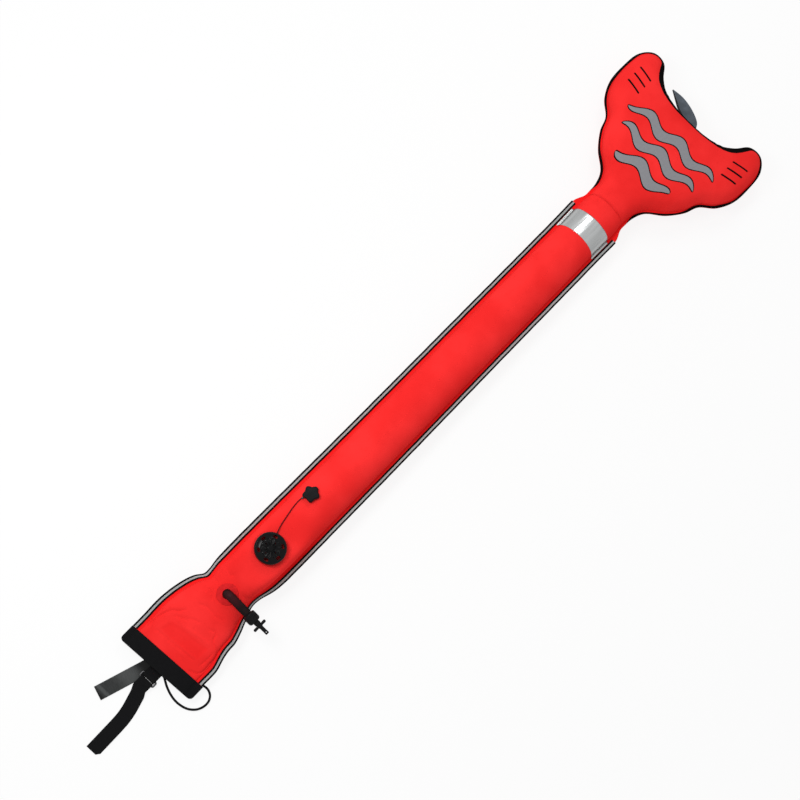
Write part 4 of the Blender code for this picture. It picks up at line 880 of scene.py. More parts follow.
def coated_fabric(name, printed):
    """Red nylon with a satin coating: weave, soft mottling, darker welds and, in front, its prints."""
    colours = bpy.context.scene.buoy_colours
    red = colours.fabric_red
    shader = Shader(name, red, 0.5, 0.0)
    mottle = shader.noise(0.085, 3.0)
    scuff = shader.noise(0.012, 4.0, 0.6)
    colour = shader.mix(shader.between(mottle, 0.3, 0.7), tinted(red, 0.93), colours.mottle_red)
    colour = shader.mix(shader.between(scuff, 0.55, 0.8, 0.0, 0.35), colour, tinted(red, 0.8))
    colour = shader.mix(shader.attribute("weld"), colour, colours.weld_red)
    if printed:
        colour = printed_colour(shader, colour, colours.print_grey)
    shader.set("Base Color", colour)
    shader.rough(scuff, 0.2, 0.8, 0.44, 0.56)
    cloth = shader.place("UV")
    waves = [shader.wave(cloth, 0.62 * MM, bands_direction=direction) for direction in "XY"]
    shader.bump(shader.math("MAXIMUM", *waves), 0.02 * MM, 0.6)
    shader.bump(shader.noise(0.011, 3.0, at=shader.place(scale=(0.3, 1.0, 1.0))), 0.14 * MM, 0.5)
    shader.bump(mottle, 2.2 * MM, 0.5)
    return shader.material


def printed_colour(shader, colour, ribbon_grey):
    """Wavy grey ribbons, short strokes and the black line along the head's edge."""
    x, y, _ = shader.axes()
    sizes = bpy.context.scene.buoy_sizes
    grey = shader.mix(shader.noise(0.004, 3.0), ribbon_grey, tinted(ribbon_grey, 1.2))
    line = sizes.print_line / 2.0
    for at, reach, phase in RIBBONS:
        angle = shader.math("MULTIPLY_ADD", y, TURN / sizes.print_wave_length, phase)
        crest = shader.math("MULTIPLY_ADD", shader.math("SINE", angle), sizes.print_wave_height,
                            along_x(NECK + at * MM))
        part = shader.math("DIVIDE", y, reach * MM)
        left = shader.math("MULTIPLY_ADD", part, shader.times(part, -1.0), 1.0)
        width = shader.times(shader.math("SQRT", shader.math("MAXIMUM", left, 0.0)), sizes.print_half_width)
        gap = shader.math("SUBTRACT", shader.apart(x, crest), width)
        within = shader.until(shader.math("ABSOLUTE", part), 1.0, 1.01)
        body = shader.until(gap, -line - 0.1 * MM, -line + 0.1 * MM)
        outline = shader.until(shader.math("ABSOLUTE", gap), line, line + 0.2 * MM)
        colour = shader.mix(shader.times(body, within), colour, grey)
        colour = shader.mix(shader.times(outline, within), colour, PRINT_BLACK)
    side = shader.math("ABSOLUTE", y)
    ends = shader.times(shader.between(side, 0.104, 0.106), shader.until(side, 0.136, 0.139))
    for at in STROKES:
        lean = shader.math("MULTIPLY_ADD", side, 0.3, along_x(NECK + at * MM) - 0.036)
        stroke = shader.until(shader.apart(x, lean), 1.6 * MM, 2.1 * MM)
        colour = shader.mix(shader.times(stroke, ends), colour, PRINT_BLACK)
    margin = shader.attribute("border_margin")
    return shader.mix(shader.until(margin, -0.12 * MM, 0.12 * MM), colour, PRINT_BLACK)


def woven(name, colour, roughness, rib, weft, depth, light=1.5):
    """Woven tape or webbing: ribs along it crossed by a finer weft, in millimetres, with a little fuzz; the
    raised threads are painted lighter and the gaps between them painted darker, as light and shade.
    """
    shader = Shader(name, colour, roughness, 0.07)
    shader.set("Sheen Weight", 0.02)
    shader.set("Sheen Roughness", 0.45)
    cloth = shader.place("UV")
    ribs = shader.wave(cloth, rib * MM, 0.4)
    cross = shader.wave(cloth, weft * MM, 0.3, bands_direction="Y")
    weave = shader.times(ribs, shader.math("MULTIPLY_ADD", cross, 0.6, 0.4))
    dust = shader.noise(0.006, 4.0, 0.65)
    blend = shader.math("MULTIPLY_ADD", weave, 0.65, shader.times(dust, 0.35))
    # Painted light and shade on the weave, mixed with real dust: gaps darker, raised threads lighter
    shader.shade(blend, 0.1, 0.9, tinted(colour, 0.62), tinted(colour, light))
    shader.rough(dust, 0.2, 0.8, roughness - 0.08, min(roughness + 0.08, 1.0))
    shader.bump(weave, depth * MM)
    shader.bump(shader.noise(0.014), 0.25 * MM, 0.6)
    return shader.material


def moulded(name, colour, roughness, grain=0.5, depth=0.015, light=1.6, specular=0.08):
    """Moulded plastic or rubber: fine grain, in millimetres, faint flow marks and a little dust."""
    shader = Shader(name, colour, roughness, specular)
    dust = shader.noise(0.005, 5.0, 0.7)
    shader.shade(dust, 0.45, 0.85, colour, tinted(colour, light))
    shader.rough(dust, 0.25, 0.75, roughness - 0.05, roughness + 0.09)
    shader.bump(shader.noise(grain * MM, 3.0), depth * MM)
    shader.bump(shader.noise(0.008), 0.06 * MM, 0.6)
    return shader.material


def brushed_metal(name, colour, roughness):
    """Wire or pressed metal with fine streaks and darker blotches."""
    shader = Shader(name, colour, roughness, metallic=1.0)
    streaks = shader.noise(0.6 * MM, 3.0, at=shader.place(scale=(1.0, 0.12, 1.0)))
    shader.shade(shader.noise(3.5 * MM, 3.0), 0.3, 0.8, colour, tinted(colour, 0.7))
    shader.rough(streaks, 0.2, 0.8, roughness - 0.08, roughness + 0.14)
    shader.bump(streaks, 0.01 * MM)
    return shader.material


def silver_finish(name, colour):
    """Reflective tape: fine beads and long soft creases."""
    shader = Shader(name, colour, 0.22, 0.4, 0.75)
    creases = shader.noise(8 * MM, 2.0, 0.4, shader.place(scale=(0.1, 1.0, 0.6)))
    beads = shader.noise(0.45 * MM)
    blend = shader.math("MULTIPLY_ADD", creases, 0.75, shader.times(beads, 0.25))
    shader.shade(blend, 0.3, 0.7, tinted(colour, 0.86), tinted(colour, 1.12))
    shader.rough(creases, 0.3, 0.7, 0.16, 0.26)
    shader.bump(creases, 0.1 * MM)
    shader.bump(beads, 0.004 * MM)
    return shader.material


def gloss_finish(name, colour):
    """Coated strap: dark, with a painted sheen, a painted glint near its fold, painted shade at the fold and
    fine streaks across it.
    """
    shader = Shader(name, colour, 0.34, 0.13)
    streaks = shader.noise(1.1 * MM, 3.0, 0.6, shader.place("UV", (0.12, 1.0, 1.0)))
    blotch = shader.noise(0.016, 3.0)
    behind = shader.math("SUBTRACT", HEM_X, shader.axes()[0])
    # Painted light: lighter from 12 mm behind the hem, dimmer past 40 mm, a painted glint at 84 mm and
    # painted shade at the fold
    painted_light_band = shader.between(behind, 12 * MM, 32 * MM)
    painted_dimming = shader.between(behind, 40 * MM, 66 * MM, 1.0, 0.42)
    painted_glint = shader.between(shader.apart(behind, 84 * MM), 0.6 * MM, 4.5 * MM, 0.75, 0.0)
    fold = shader.between(behind, 88 * MM, 94 * MM, 1.0, 0.1)
    painted_sheen = shader.times(shader.math("MULTIPLY_ADD", painted_light_band, painted_dimming, painted_glint), fold)
    # The streaks also vary the painted sheen, as streaks of reflection
    painted_sheen = shader.times(painted_sheen, shader.between(streaks, 0.25, 0.75, 0.7, 1.3))
    shader.set("Base Color", shader.mix(painted_sheen, tinted(colour, 0.08), tinted(colour, 1.7)))
    shader.rough(blotch, 0.3, 0.7, 0.3, 0.44)
    shader.bump(streaks, 0.03 * MM)
    shader.bump(blotch, 0.5 * MM, 0.6)
    return shader.material


def braided(name, colour, roughness, strand):
    """Braided cover of a cord: strands crossing each other round it, their width in millimetres, with painted
    shade in the grooves between the strands.
    """
    shader = Shader(name, colour, roughness, 0.08)
    waves = [shader.wave(shader.place("UV", turn=turn), strand * MM) for turn in (0.7, -0.7)]
    braid = shader.math("MAXIMUM", *waves)
    fuzz = shader.noise(0.9 * MM, 4.0, 0.7)
    # Painted shade darkens the grooves between the strands; the fuzz lightens them at random
    shader.shade(braid, 0.4, 0.95, tinted(colour, 0.45), shader.mix(fuzz, colour, tinted(colour, 1.7)))
    shader.bump(braid, 0.16 * MM)
    shader.bump(fuzz, 0.03 * MM)
    return shader.material


def patch_finish(name, colour):
    """Welded film patch with faint rings round the hose."""
    shader = Shader(name, colour, 0.5, 0.02)
    place = shader.place(move=(-along_x(PATCH_AT[0]), -PATCH_AT[1], 0.0))
    cloud = shader.noise(0.007, 3.0)
    shader.shade(cloud, 0.3, 0.7, tinted(colour, 0.88), tinted(colour, 1.1))
    shader.rough(cloud, 0.3, 0.7, 0.44, 0.56)
    shader.bump(shader.wave(place, 2.6 * MM, 0.3, wave_type="RINGS", rings_direction="Z"), 0.07 * MM)
    shader.bump(cloud, 0.25 * MM, 0.6)
    return shader.material


def hose_finish(name, black, lit_top_colour):
    """Rubber hose with painted light: lighter and browner on the elbow's top, where light falls."""
    shader = Shader(name, black, 0.42, 0.07)
    grain = shader.noise(0.9 * MM, 4.0, 0.6)
    cloud = shader.between(shader.noise(0.006, 3.0), 0.2, 0.6, 0.6, 1.0)
    # Painted light on the hose's top, broken up by soft clouds
    top = shader.times(shader.between(shader.axes()[2], 0.063, 0.0725), cloud)
    shader.set("Base Color", shader.mix(top, black, lit_top_colour))
    shader.rough(grain, 0.25, 0.75, 0.42, 0.6)
    shader.bump(grain, 0.05 * MM)
    return shader.material


def fin_finish(name, colour):
    """Coated sheet of the fin: fine grain and soft clouds."""
    shader = Shader(name, colour, 0.5, 0.15)
    grain = shader.noise(1.1 * MM, 4.0, 0.6)
    shader.shade(shader.noise(0.011, 3.0), 0.3, 0.75, tinted(colour, 0.85), tinted(colour, 1.2))
    shader.rough(grain, 0.25, 0.75, 0.42, 0.58)
    shader.bump(grain, 0.04 * MM)
    return shader.material


def finish_named(name):
    """The named material, made when it is first asked for."""
    known = bpy.data.materials.get(name)
    if known is not None:
        return known
    colours = bpy.context.scene.buoy_colours
    black = colours.plastic_black
    webbing = colours.webbing_black
    makers = {
        "nylon_front": (coated_fabric, True),
        "nylon_back": (coated_fabric, False),
        "tape_grey": (woven, colours.tape_grey, 0.62, 0.7, 0.45, 0.05, 1.2),
        "tape_line": (woven, tinted(webbing, 0.15), 0.8, 0.6, 0.45, 0.06),
        "binding": (woven, webbing, 0.82, 1.9, 0.8, 0.07, 1.7),
        "webbing": (woven, tinted(webbing, 1.3), 0.85, 1.6, 1.1, 0.16, 1.8),
        "thread": (woven, tinted(webbing, 2.6), 0.6, 0.4, 0.4, 0.05),
        "gloss_webbing": (gloss_finish, colours.strap_gloss),
        "silver_tape": (silver_finish, colours.silver),
        "fin_face": (fin_finish, colours.fin_grey),
        "fin_rim": (fin_finish, (0.013, 0.013, 0.014)),
        "elastic_braid": (braided, tinted(webbing, 1.4), 0.75, 1.15),
        "pull_line": (braided, (0.11, 0.006, 0.008), 0.6, 0.6),
        "wire_steel": (brushed_metal, (0.07, 0.07, 0.073), 0.34),
        "spring_steel": (brushed_metal, (0.5, 0.5, 0.5), 0.35),
        "cap_plastic": (moulded, tinted(black, 0.45), 0.17, 0.45, 0.01, 1.6, 0.11),
        "knob_rubber": (moulded, tinted(black, 0.9), 0.5, 0.8, 0.03, 1.9, 0.09),
        "collar_plastic": (moulded, black, 0.42, 0.6, 0.02, 1.8),
        "stem_plastic": (moulded, tinted(black, 1.1), 0.38),
        "hose_rubber": (hose_finish, colours.rubber_black, colours.hose_top_light),
        "welded_patch": (patch_finish, colours.patch_red),
        "valve_red": (moulded, (0.55, 0.018, 0.018), 0.4, 0.5, 0.012, 1.2),
        "seal_rubber": (moulded, (0.014, 0.014, 0.015), 0.65, 0.7, 0.02, 1.8),
        "duckbill_sheet": (moulded, (0.6, 0.03, 0.03), 0.45, 0.9, 0.03, 1.15),
    }
    maker, *values = makers[name]
    return maker(name, *values)


# Properties

def number_property(name, description, default, **limits):
    return bpy.props.FloatProperty(name=name, description=description, default=default, **limits)


def length_property(name, description, default):
    return number_property(name, description, default, min=0.0, unit="LENGTH", precision=4)


def colour_property(name, description, default):
    return bpy.props.FloatVectorProperty(name=name, description=description, default=default, size=3,
                                         min=0.0, max=1.0, subtype="COLOR")


class BuoySizes(bpy.types.PropertyGroup):
    crease_depth: number_property("Crease depth", "How deep the fabric's creases and puckers are", 1.9,
                                  min=0.0, max=3.0)
    hem_corner: length_property("Hem corner", "Rounding of the mouth's two corners", 7 * MM)
    tape_width: length_property("Tape width", "Width of the edge tape on one face", 9.6 * MM)
    tape_line: length_property("Tape line", "Width of each black line on the edge tape", 3.1 * MM)
    border_width: length_property("Border width", "Width of the black line along the head's edge", 4.3 * MM)
    border_front: length_property("Leading border", "Extra width of the line on the leading edge", 18 * MM)
    fin_rim: length_property("Fin rim", "Width of the black rim on the fin's hollow side", 4.2 * MM)
    print_half_width: length_property("Ribbon half width", "Half width of the printed ribbons", 12 * MM)
    print_line: length_property("Ribbon outline", "Width of the ribbons' outline", 2.2 * MM)
    print_wave_length: length_property("Ribbon wave length", "Length of one wave of a ribbon", 74 * MM)
    print_wave_height: length_property("Ribbon wave height", "Height of a ribbon's wave", 8 * MM)
    weld_ring: length_property("Valve weld ring", "Radius of the ring welded round the valve", 31 * MM)
    band_thickness: length_property("Binding thickness", "Thickness of the binding at the mouth", 1.2 * MM)
    webbing_width: length_property("Webbing width", "Width of the webbing straps", 25 * MM)
    webbing_thickness: length_property("Webbing thickness", "Thickness of the tail webbing", 1.5 * MM)
    tab_thickness: length_property("Tab thickness", "Thickness of the tab's webbing", 1.4 * MM)
    gloss_thickness: length_property("Coated strap thickness", "Thickness of the coated strap", 0.9 * MM)
    stitch_length: length_property("Stitch length", "Length of one stitch", 2.4 * MM)
    stitch_width: length_property("Stitch width", "Width of the sewing thread", 0.55 * MM)
    ring_wire: length_property("Ring wire", "Radius of the ring's wire", 1.7 * MM)
    elastic_radius: length_property("Elastic radius", "Radius of the elastic cord", 2 * MM)
    pull_radius: length_property("Pull cord radius", "Radius of the valve's pull cord", 0.9 * MM)
    knob_radius: length_property("Knob radius", "Radius of the knob to its points", 15 * MM)
    knob_thickness: length_property("Knob thickness", "Thickness of the knob", 8 * MM)
    cap_radius: length_property("Valve cap radius", "Radius of the valve's cap", 27 * MM)
    hose_radius: length_property("Hose radius", "Outer radius of the inflator's hose", 7.5 * MM)
    collar_radius: length_property("Collar radius", "Radius of the inflator's collar", 11 * MM)


class BuoyColours(bpy.types.PropertyGroup):
    fabric_red: colour_property("Fabric red", "Coated fabric", (0.90, 0.025, 0.024))
    mottle_red: colour_property("Mottle red", "Brighter patches of the coated fabric", (0.96, 0.034, 0.033))
    weld_red: colour_property("Weld red", "Flat welded strips", (0.86, 0.016, 0.016))
    patch_red: colour_property("Patch red", "Film patch under the hose", (0.67, 0.017, 0.019))
    tape_grey: colour_property("Tape grey", "Middle of the edge tape", (0.42, 0.43, 0.425))
    webbing_black: colour_property("Webbing black", "Webbing, binding and thread", (0.0045, 0.0045, 0.005))
    strap_gloss: colour_property("Coated strap", "Coated strap under the tab", (0.036, 0.038, 0.038))
    silver: colour_property("Silver", "Reflective tape", (0.40, 0.41, 0.41))
    fin_grey: colour_property("Fin grey", "Fin on the head's edge", (0.085, 0.10, 0.12))
    print_grey: colour_property("Print grey", "Ribbons printed on the head", (0.23, 0.23, 0.245))
    plastic_black: colour_property("Plastic black", "Moulded plastic parts", (0.0045, 0.0045, 0.005))
    rubber_black: colour_property("Rubber black", "Hose", (0.006, 0.0045, 0.0045))
    # Painted light: lighter brown for the lit top of the hose
    hose_top_light: colour_property("Hose brown", "Rubbed top of the hose", (0.036, 0.006, 0.008))
    floor: colour_property("Floor", "Studio floor", (0.9, 0.9, 0.9))


class BuoyStage(bpy.types.PropertyGroup):
    tilt: number_property("Camera tilt", "Angle of the view from straight down", math.radians(15.0),
                          subtype="ANGLE")
    roll: number_property("Camera roll", "Turn of the picture round the view", math.radians(45.6),
                          subtype="ANGLE")
    camera_distance: length_property("Camera distance", "Distance from the camera to its target", 2.592)
    target: bpy.props.FloatVectorProperty(name="Target", description="Point that the camera looks at",
                                          default=(-0.1075, 0.025, 0.0365), subtype="TRANSLATION")
    lens: number_property("Lens", "Focal length in millimetres", 67.5, min=10.0)
    key_power: number_property("Key lamp", "Power of the main lamp in watts", 13.0, min=0.0)
    fill_power: number_property("Fill lamp", "Power of the fill lamp in watts", 8.0, min=0.0)
    sky: number_property("Sky", "Strength of the world's soft light", 0.56, min=0.0)
    glow: number_property("Floor glow", "Share of the floor that the camera sees white", 0.88,
                          min=0.0, max=1.0, subtype="FACTOR")


# Pieces

class AddStage(bpy.types.Operator):
    """Add the camera, the soft lamps, the sky and the floor"""
    bl_idname = "buoy.add_stage"
    bl_label = "Stage and camera"

    def execute(self, context):
        stage = context.scene.buoy_stage
        level = Vector((math.cos(stage.tilt), 0.0, math.sin(stage.tilt)))
        back = Vector((-math.sin(stage.tilt), 0.0, math.cos(stage.tilt)))
        side = Vector((0.0, 1.0, 0.0))
        right = level * math.cos(stage.roll) - side * math.sin(stage.roll)
        up = level * math.sin(stage.roll) + side * math.cos(stage.roll)
        data = bpy.data.cameras.new("camera")
        data.lens = stage.lens
        data.sensor_width = 36.0
        camera = scene_object("camera", data)
        turn = Matrix((right, up, back)).transposed().to_4x4()
        camera.matrix_world = Matrix.Translation(Vector(stage.target) + back * stage.camera_distance) @ turn
        context.scene.camera = camera
        context.scene.view_settings.view_transform = "Standard"
        self.add_lamp("key_lamp", stage.key_power, (-0.65, 0.8, 1.45), (-0.4, 0.0, 0.05), 0.6)
        self.add_lamp("fill_lamp", stage.fill_power, (1.1, 0.7, 1.5), (0.4, 0.0, 0.05), 0.75)
        self.add_sky(context, stage)
        self.add_floor(context, stage)
        return {"FINISHED"}

    def add_lamp(self, name, power, place, target, size):
        data = bpy.data.lights.new(name, "AREA")
        data.energy = power
        data.shape = "DISK"
        data.size = size
        lamp = scene_object(name, data)
        lamp.location = place
        lamp.rotation_euler = (Vector(target) - Vector(place)).to_track_quat("-Z", "Y").to_euler()

    def add_sky(self, context, stage):
        """White where the camera looks at it or a glossy piece mirrors it, and soft light elsewhere."""
        world = bpy.data.worlds.new("studio")
        context.scene.world = world
        world.use_nodes = True
        nodes = Nodes(world.node_tree)
        sky = world.node_tree.nodes["Background"]
        rays = nodes.add("LightPath").outputs
        seen = nodes.math("MAXIMUM", rays["Is Camera Ray"], rays["Is Glossy Ray"])
        seen = nodes.math("MAXIMUM", seen, rays["Is Transmission Ray"])
        strength = nodes.add("MapRange", {"Value": seen, "To Min": stage.sky, "To Max": 1.0})
        nodes.feed(sky.inputs["Color"], (1.0, 1.0, 1.0, 1.0))
        nodes.feed(sky.inputs["Strength"], strength.outputs[0])

    def add_floor(self, context, stage):
        """Floor that takes soft shadows and is otherwise nearly white to the camera."""
        shader = Shader("studio_floor", context.scene.buoy_colours.floor, 0.9, 0.1)
        rays = shader.add("LightPath").outputs
        share = shader.times(shader.math("MAXIMUM", rays["Is Camera Ray"], rays["Is Glossy Ray"]), stage.glow)
        glow = shader.add("Emission", {"Color": (1.0, 1.0, 1.0, 1.0), "Strength": 1.0}).outputs[0]
        mixed = shader.add("MixShader", {0: share, 1: shader.surface.outputs[0], 2: glow})
        shader.feed(shader.tree.nodes["Material Output"].inputs["Surface"], mixed.outputs[0])
        mesh = bmesh.new()
        bmesh.ops.create_grid(mesh, x_segments=4, y_segments=4, size=6.0)
        move_mesh(mesh, (0.0, 0.0, -0.2 * MM))
        floor = mesh_object("floor", mesh)
        floor.data.materials.append(shader.material)


class AddCords(bpy.types.Operator):
    """Add the elastic loop, the valve's pull cord, its ferrule and its knob"""
    bl_idname = "buoy.add_cords"
    bl_label = "Cords and knob"

    def execute(self, context):
        sizes = context.scene.buoy_sizes
        path = curve_through(to_world(BUNGEE_ROUTE), 2 * MM)
        loop = add_piece("elastic_loop", tube_mesh(path, sizes.elastic_radius, 16), ["elastic_braid"],
                         replaces="bungee_loop")
        self.say_cord(loop, path, sizes.elastic_radius, far_end="object")
        knob_middle = node_middle("pull_knob") + Vector((1.5, -0.6, 0.35)) * MM
        path = curve_through(to_world(PULL_ROUTE), 1.5 * MM)
        inward = (knob_middle - Vector(path[-1])).normalized()
        knob = self.add_knob(sizes, knob_middle)
        outline = ((0, -1.5, 0), (1.8, -1.5, 0.5), (1.8, 1.4, 0.5), (0, 1.4, 0))
        ferrule = add_piece("pull_ferrule", lathe(outline, 24, node_middle("cord_ferrule"), inward),
                            ["wire_steel"], replaces="cord_ferrule", body="dump_pull")
        path = np.vstack([path, path[-1] + np.array(inward) * 0.5 * MM])
        cord = add_piece("pull_line", tube_mesh(path, sizes.pull_radius, 12), ["pull_line"],
                         replaces="pull_cord", body="dump_pull")
        self.say_cord(cord, path, sizes.pull_radius, far_end="fitting", with_pieces=[ferrule, knob])
        return {"FINISHED"}

    def say_cord(self, piece, path, radius, **end):
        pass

    def add_knob(self, sizes, middle):
        """Star knob with five blunt points and a shallow dish on each face."""
        mesh = bmesh.new()
        bmesh.ops.create_circle(mesh, cap_ends=True, segments=100, radius=1.0)
        for vert in mesh.verts:
            vert.co *= sizes.knob_radius * (0.89 + 0.11 * math.cos(5.0 * polar(vert)[1]))
            vert.co.z = -sizes.knob_thickness / 2.0
        top = bmesh.ops.extrude_face_region(mesh, geom=mesh.faces[:])["geom"]
        raised = [part for part in top if isinstance(part, bmesh.types.BMVert)]
        bmesh.ops.translate(mesh, vec=(0.0, 0.0, sizes.knob_thickness), verts=raised)
        face_outwards(mesh)
        rims = [edge for edge in mesh.edges if any(len(face.verts) > 4 for face in edge.link_faces)]
        bevel_edges(mesh, rims, 2.5 * MM, 6)
        caps = [face for face in mesh.faces if len(face.verts) > 4]
        bmesh.ops.inset_region(mesh, faces=caps, thickness=1.4 * MM, depth=-0.35 * MM)
        bmesh.ops.transform(mesh, matrix=Matrix.Rotation(math.radians(-22.0), 4, "X"), verts=mesh.verts[:])
        move_mesh(mesh, middle)
        return add_piece("star_knob", mesh, ["knob_rubber"], replaces="pull_knob",
                         body="dump_pull", smooth=50.0)


class AddBag(bpy.types.Operator):
    """Add the two coated fabric panels"""
    bl_idname = "buoy.add_bag"
    bl_label = "Fabric panels"

    def execute(self, context):
        sizes = context.scene.buoy_sizes
        corners, faces, area, outer = head_net(across_line(NECK))
        head = (corners, faces, head_fullness(corners, faces, area), outer)
        for face, side in FACES:
            self.add_panel(sizes, face, side, head)
        return {"FINISHED"}

    def add_panel(self, sizes, face, side, head):
        """One panel: the tube as a net of rows, sewn at the neck to the head's own net."""
        front = side > 0.0
        rows = tube_rows()
        ys = np.array([across_line(distance) for distance in rows])
        distances = np.repeat(np.array(rows)[:, None], ys.shape[1], axis=1)
        heights = crown_height(distances, ys)
        depth = sizes.crease_depth if front else 0.45 * sizes.crease_depth
        heights += tube_relief(distances.ravel(), ys.ravel(), depth).reshape(ys.shape)
        if front:
            heights = self.valve_seat(sizes, distances, ys, heights)
        moved = hem_distance(distances, ys, sizes.hem_corner)
        ys, z = curled(distances, ys, self.kept_up(section(distances)[2] + side * heights, side))
        mesh = grid_mesh(world_points(moved, ys, z))
        self.add_head(mesh, side, depth, *head)
        if front:
            self.open_hole(mesh, VALVE_AT, VALVE_HOLE_RADIUS)
            self.open_hole(mesh, PATCH_AT, sizes.hose_radius + GAP)
        face_outwards(mesh)
        face_towards(mesh, (0.0, 0.0, side))
        self.mark(mesh, sizes, head[-1])
        add_piece(face + "_skin", mesh, ["nylon_" + face], replaces=face + "_panel",
                  smooth=60.0, wall=FABRIC)

    def add_head(self, mesh, side, depth, corners, faces, fullness, outer):
        """Add one side of the head to the tube's mesh and merge the two at the neck."""
        lift = HEAD_LIFT * ease(corners[:, 0], NECK, NECK + HEAD_LIFT_LENGTH)
        rise = HALF_GAP + fullness + head_relief(corners, outer, depth) * (fullness > 0.2 * MM)
        z = self.kept_up(section(NECK)[2] + lift + side * rise, side)
        layer = mesh.loops.layers.uv.active
        added = [mesh.verts.new((along_x(x), y, height)) for (x, y), height in zip(corners, z)]
        for face in faces:
            made = mesh.faces.new([added[k] for k in face])
            for loop in made.loops:
                loop[layer].uv = (loop.vert.co.y, loop.vert.co.x)
        bmesh.ops.remove_doubles(mesh, verts=mesh.verts[:], dist=0.03 * MM)

    def kept_up(self, z, side):
        """The back's outer face stays on the floor."""
        return z if side > 0.0 else np.maximum(z, FABRIC)

    def valve_seat(self, sizes, distances, ys, heights):
        """Flatten the fabric that the valve's flange holds, with the raised ring welded round it."""
        away = np.hypot(distances - VALVE_AT[0], ys - VALVE_AT[1])
        flat = 1.0 - ease(away, 28 * MM, 40 * MM)
        top = crown_height(VALVE_AT[0], section(VALVE_AT[0])[0])
        heights = heights * (1.0 - flat) + top * flat
        ring = ease(away, sizes.weld_ring - 2.6 * MM, sizes.weld_ring - 1.6 * MM)
        ring = ring * (1.0 - ease(away, sizes.weld_ring - 0.6 * MM, sizes.weld_ring + 1.2 * MM))
        return heights + 0.55 * MM * ring

    def open_hole(self, mesh, place, radius):
        """Cut a round hole in the fabric by clearing it and drawing the rest of the net back."""
        middle = Vector((along_x(place[0]), place[1]))
        within = [vert for vert in mesh.verts if (vert.co.xy - middle).length < radius]
        chosen = set(within)
        cleared = [vert for vert in within
                   if all(edge.other_vert(vert) in chosen for edge in vert.link_edges)]
        bmesh.ops.delete(mesh, geom=cleared, context="VERTS")
        loose = [face for face in mesh.faces if all(vert in chosen for vert in face.verts)]
        bmesh.ops.delete(mesh, geom=loose, context="FACES")
        for vert in chosen.intersection(mesh.verts):
            offset = vert.co.xy - middle
            vert.co.xy = middle + offset * (radius / offset.length)

    def mark(self, mesh, sizes, outer):
        """Give each point its share of weld and its distance from the head's black border."""
        places = np.array([(vert.co.x - HEM_X, vert.co.y) for vert in mesh.verts])
        centre, half = section(places[:, 0])[:2]
        within, rim = pocket_rim(places)
        weld = ease(np.abs(places[:, 1] - centre) - half, -0.6 * MM, 0.3 * MM)
        weld = np.maximum(weld, 0.3 * ease(rim, 0.0, 3 * MM) * within)
        in_head = places[:, 0] > NECK - 0.01 * MM
        gap, at = line_distance(places[in_head], outer)
        weld[in_head] = 1.0 - ease(gap, WELD_WIDTH - 0.4 * MM, WELD_WIDTH + 0.6 * MM)
        width = sizes.border_width * (1.0 + 0.22 * np.sin(at / (31 * MM)) + 0.12 * np.sin(at / (9 * MM)))
        width = width * ease(places[in_head, 0], NECK + 4 * MM, NECK + 34 * MM)
        ahead = ease(places[in_head, 0], NECK + 196 * MM, NECK + 232 * MM)
        middle = 1.0 - ease(np.abs(places[in_head, 1]), 92 * MM, 136 * MM)
        margin = np.full(len(places), 10 * MM)
        margin[in_head] = gap - width - sizes.border_front * ahead * middle
        for name, values in (("weld", weld), ("border_margin", margin)):
            layer = mesh.verts.layers.float.new(name)
            for vert, value in zip(mesh.verts, values):
                vert[layer] = value


class AddTapes(bpy.types.Operator):
    """Add the folded edge tapes over the two side welds"""
    bl_idname = "buoy.add_tapes"
    bl_label = "Edge tapes"

    def execute(self, context):
        sizes = context.scene.buoy_sizes
        for edge, side in (("left", 1.0), ("right", -1.0)):
            add_piece(edge + "_tape", self.tape(sizes, side), ["tape_grey", "tape_line"],
                      replaces=edge + "_edge_trim", smooth=45.0)
        return {"FINISHED"}

    def tape(self, sizes, side):
        """Folded tape along one side, with a raised black line along each edge of both faces."""
        outer = TAPE_HALF_THICKNESS / MM
        inner = outer - TAPE_WALL / MM
        width = sizes.tape_width / MM
        line = sizes.tape_line / MM
        top = [
            (-width, inner + 0.1), (-width, outer - 0.12), (-width + 0.3, outer + 0.14),
            (-width + line / 2.0, outer + 0.22), (-width + line - 0.25, outer + 0.12),
            (-width + line, outer - 0.1), (-width / 2.0, outer - 0.06), (-line, outer - 0.1),
            (-line + 0.25, outer + 0.12), (-line / 2.0, outer + 0.2), (-0.35, outer - 0.05),
            (0.0, outer - 0.65),
        ]
        fold = -TAPE_FOLD / MM
        hollow = [(-width, -inner), (fold, -inner), (fold, inner), (-width, inner)]
        profile = np.array(top + [(n, -z) for n, z in reversed(top)] + hollow)
        middles = (profile[:, 0] + np.roll(profile[:, 0], -1)) / 2.0
        stripes = [0 if line - width < middle < -line else 1 for middle in middles]
        distances = np.linspace(BAND_DEPTH + GAP, TAPE_END, 300)
        centre, half, plane = section(distances)[:3]
        outside = half + TAPE_SIDE + 0.16 * MM * ripples(distances, (47.0, 83.0, 29.0))
        rings = []
        for k, distance in enumerate(distances):
            ys = centre[k] + side * (outside[k] + profile[:, 0] * MM)
            turned_ys, z = curled(distance, ys, plane[k] + profile[:, 1] * MM)
            rings.append(world_points(hem_distance(distance, ys), turned_ys, z))
        return grid_mesh(rings, closed=True, caps=True, stripes=stripes)


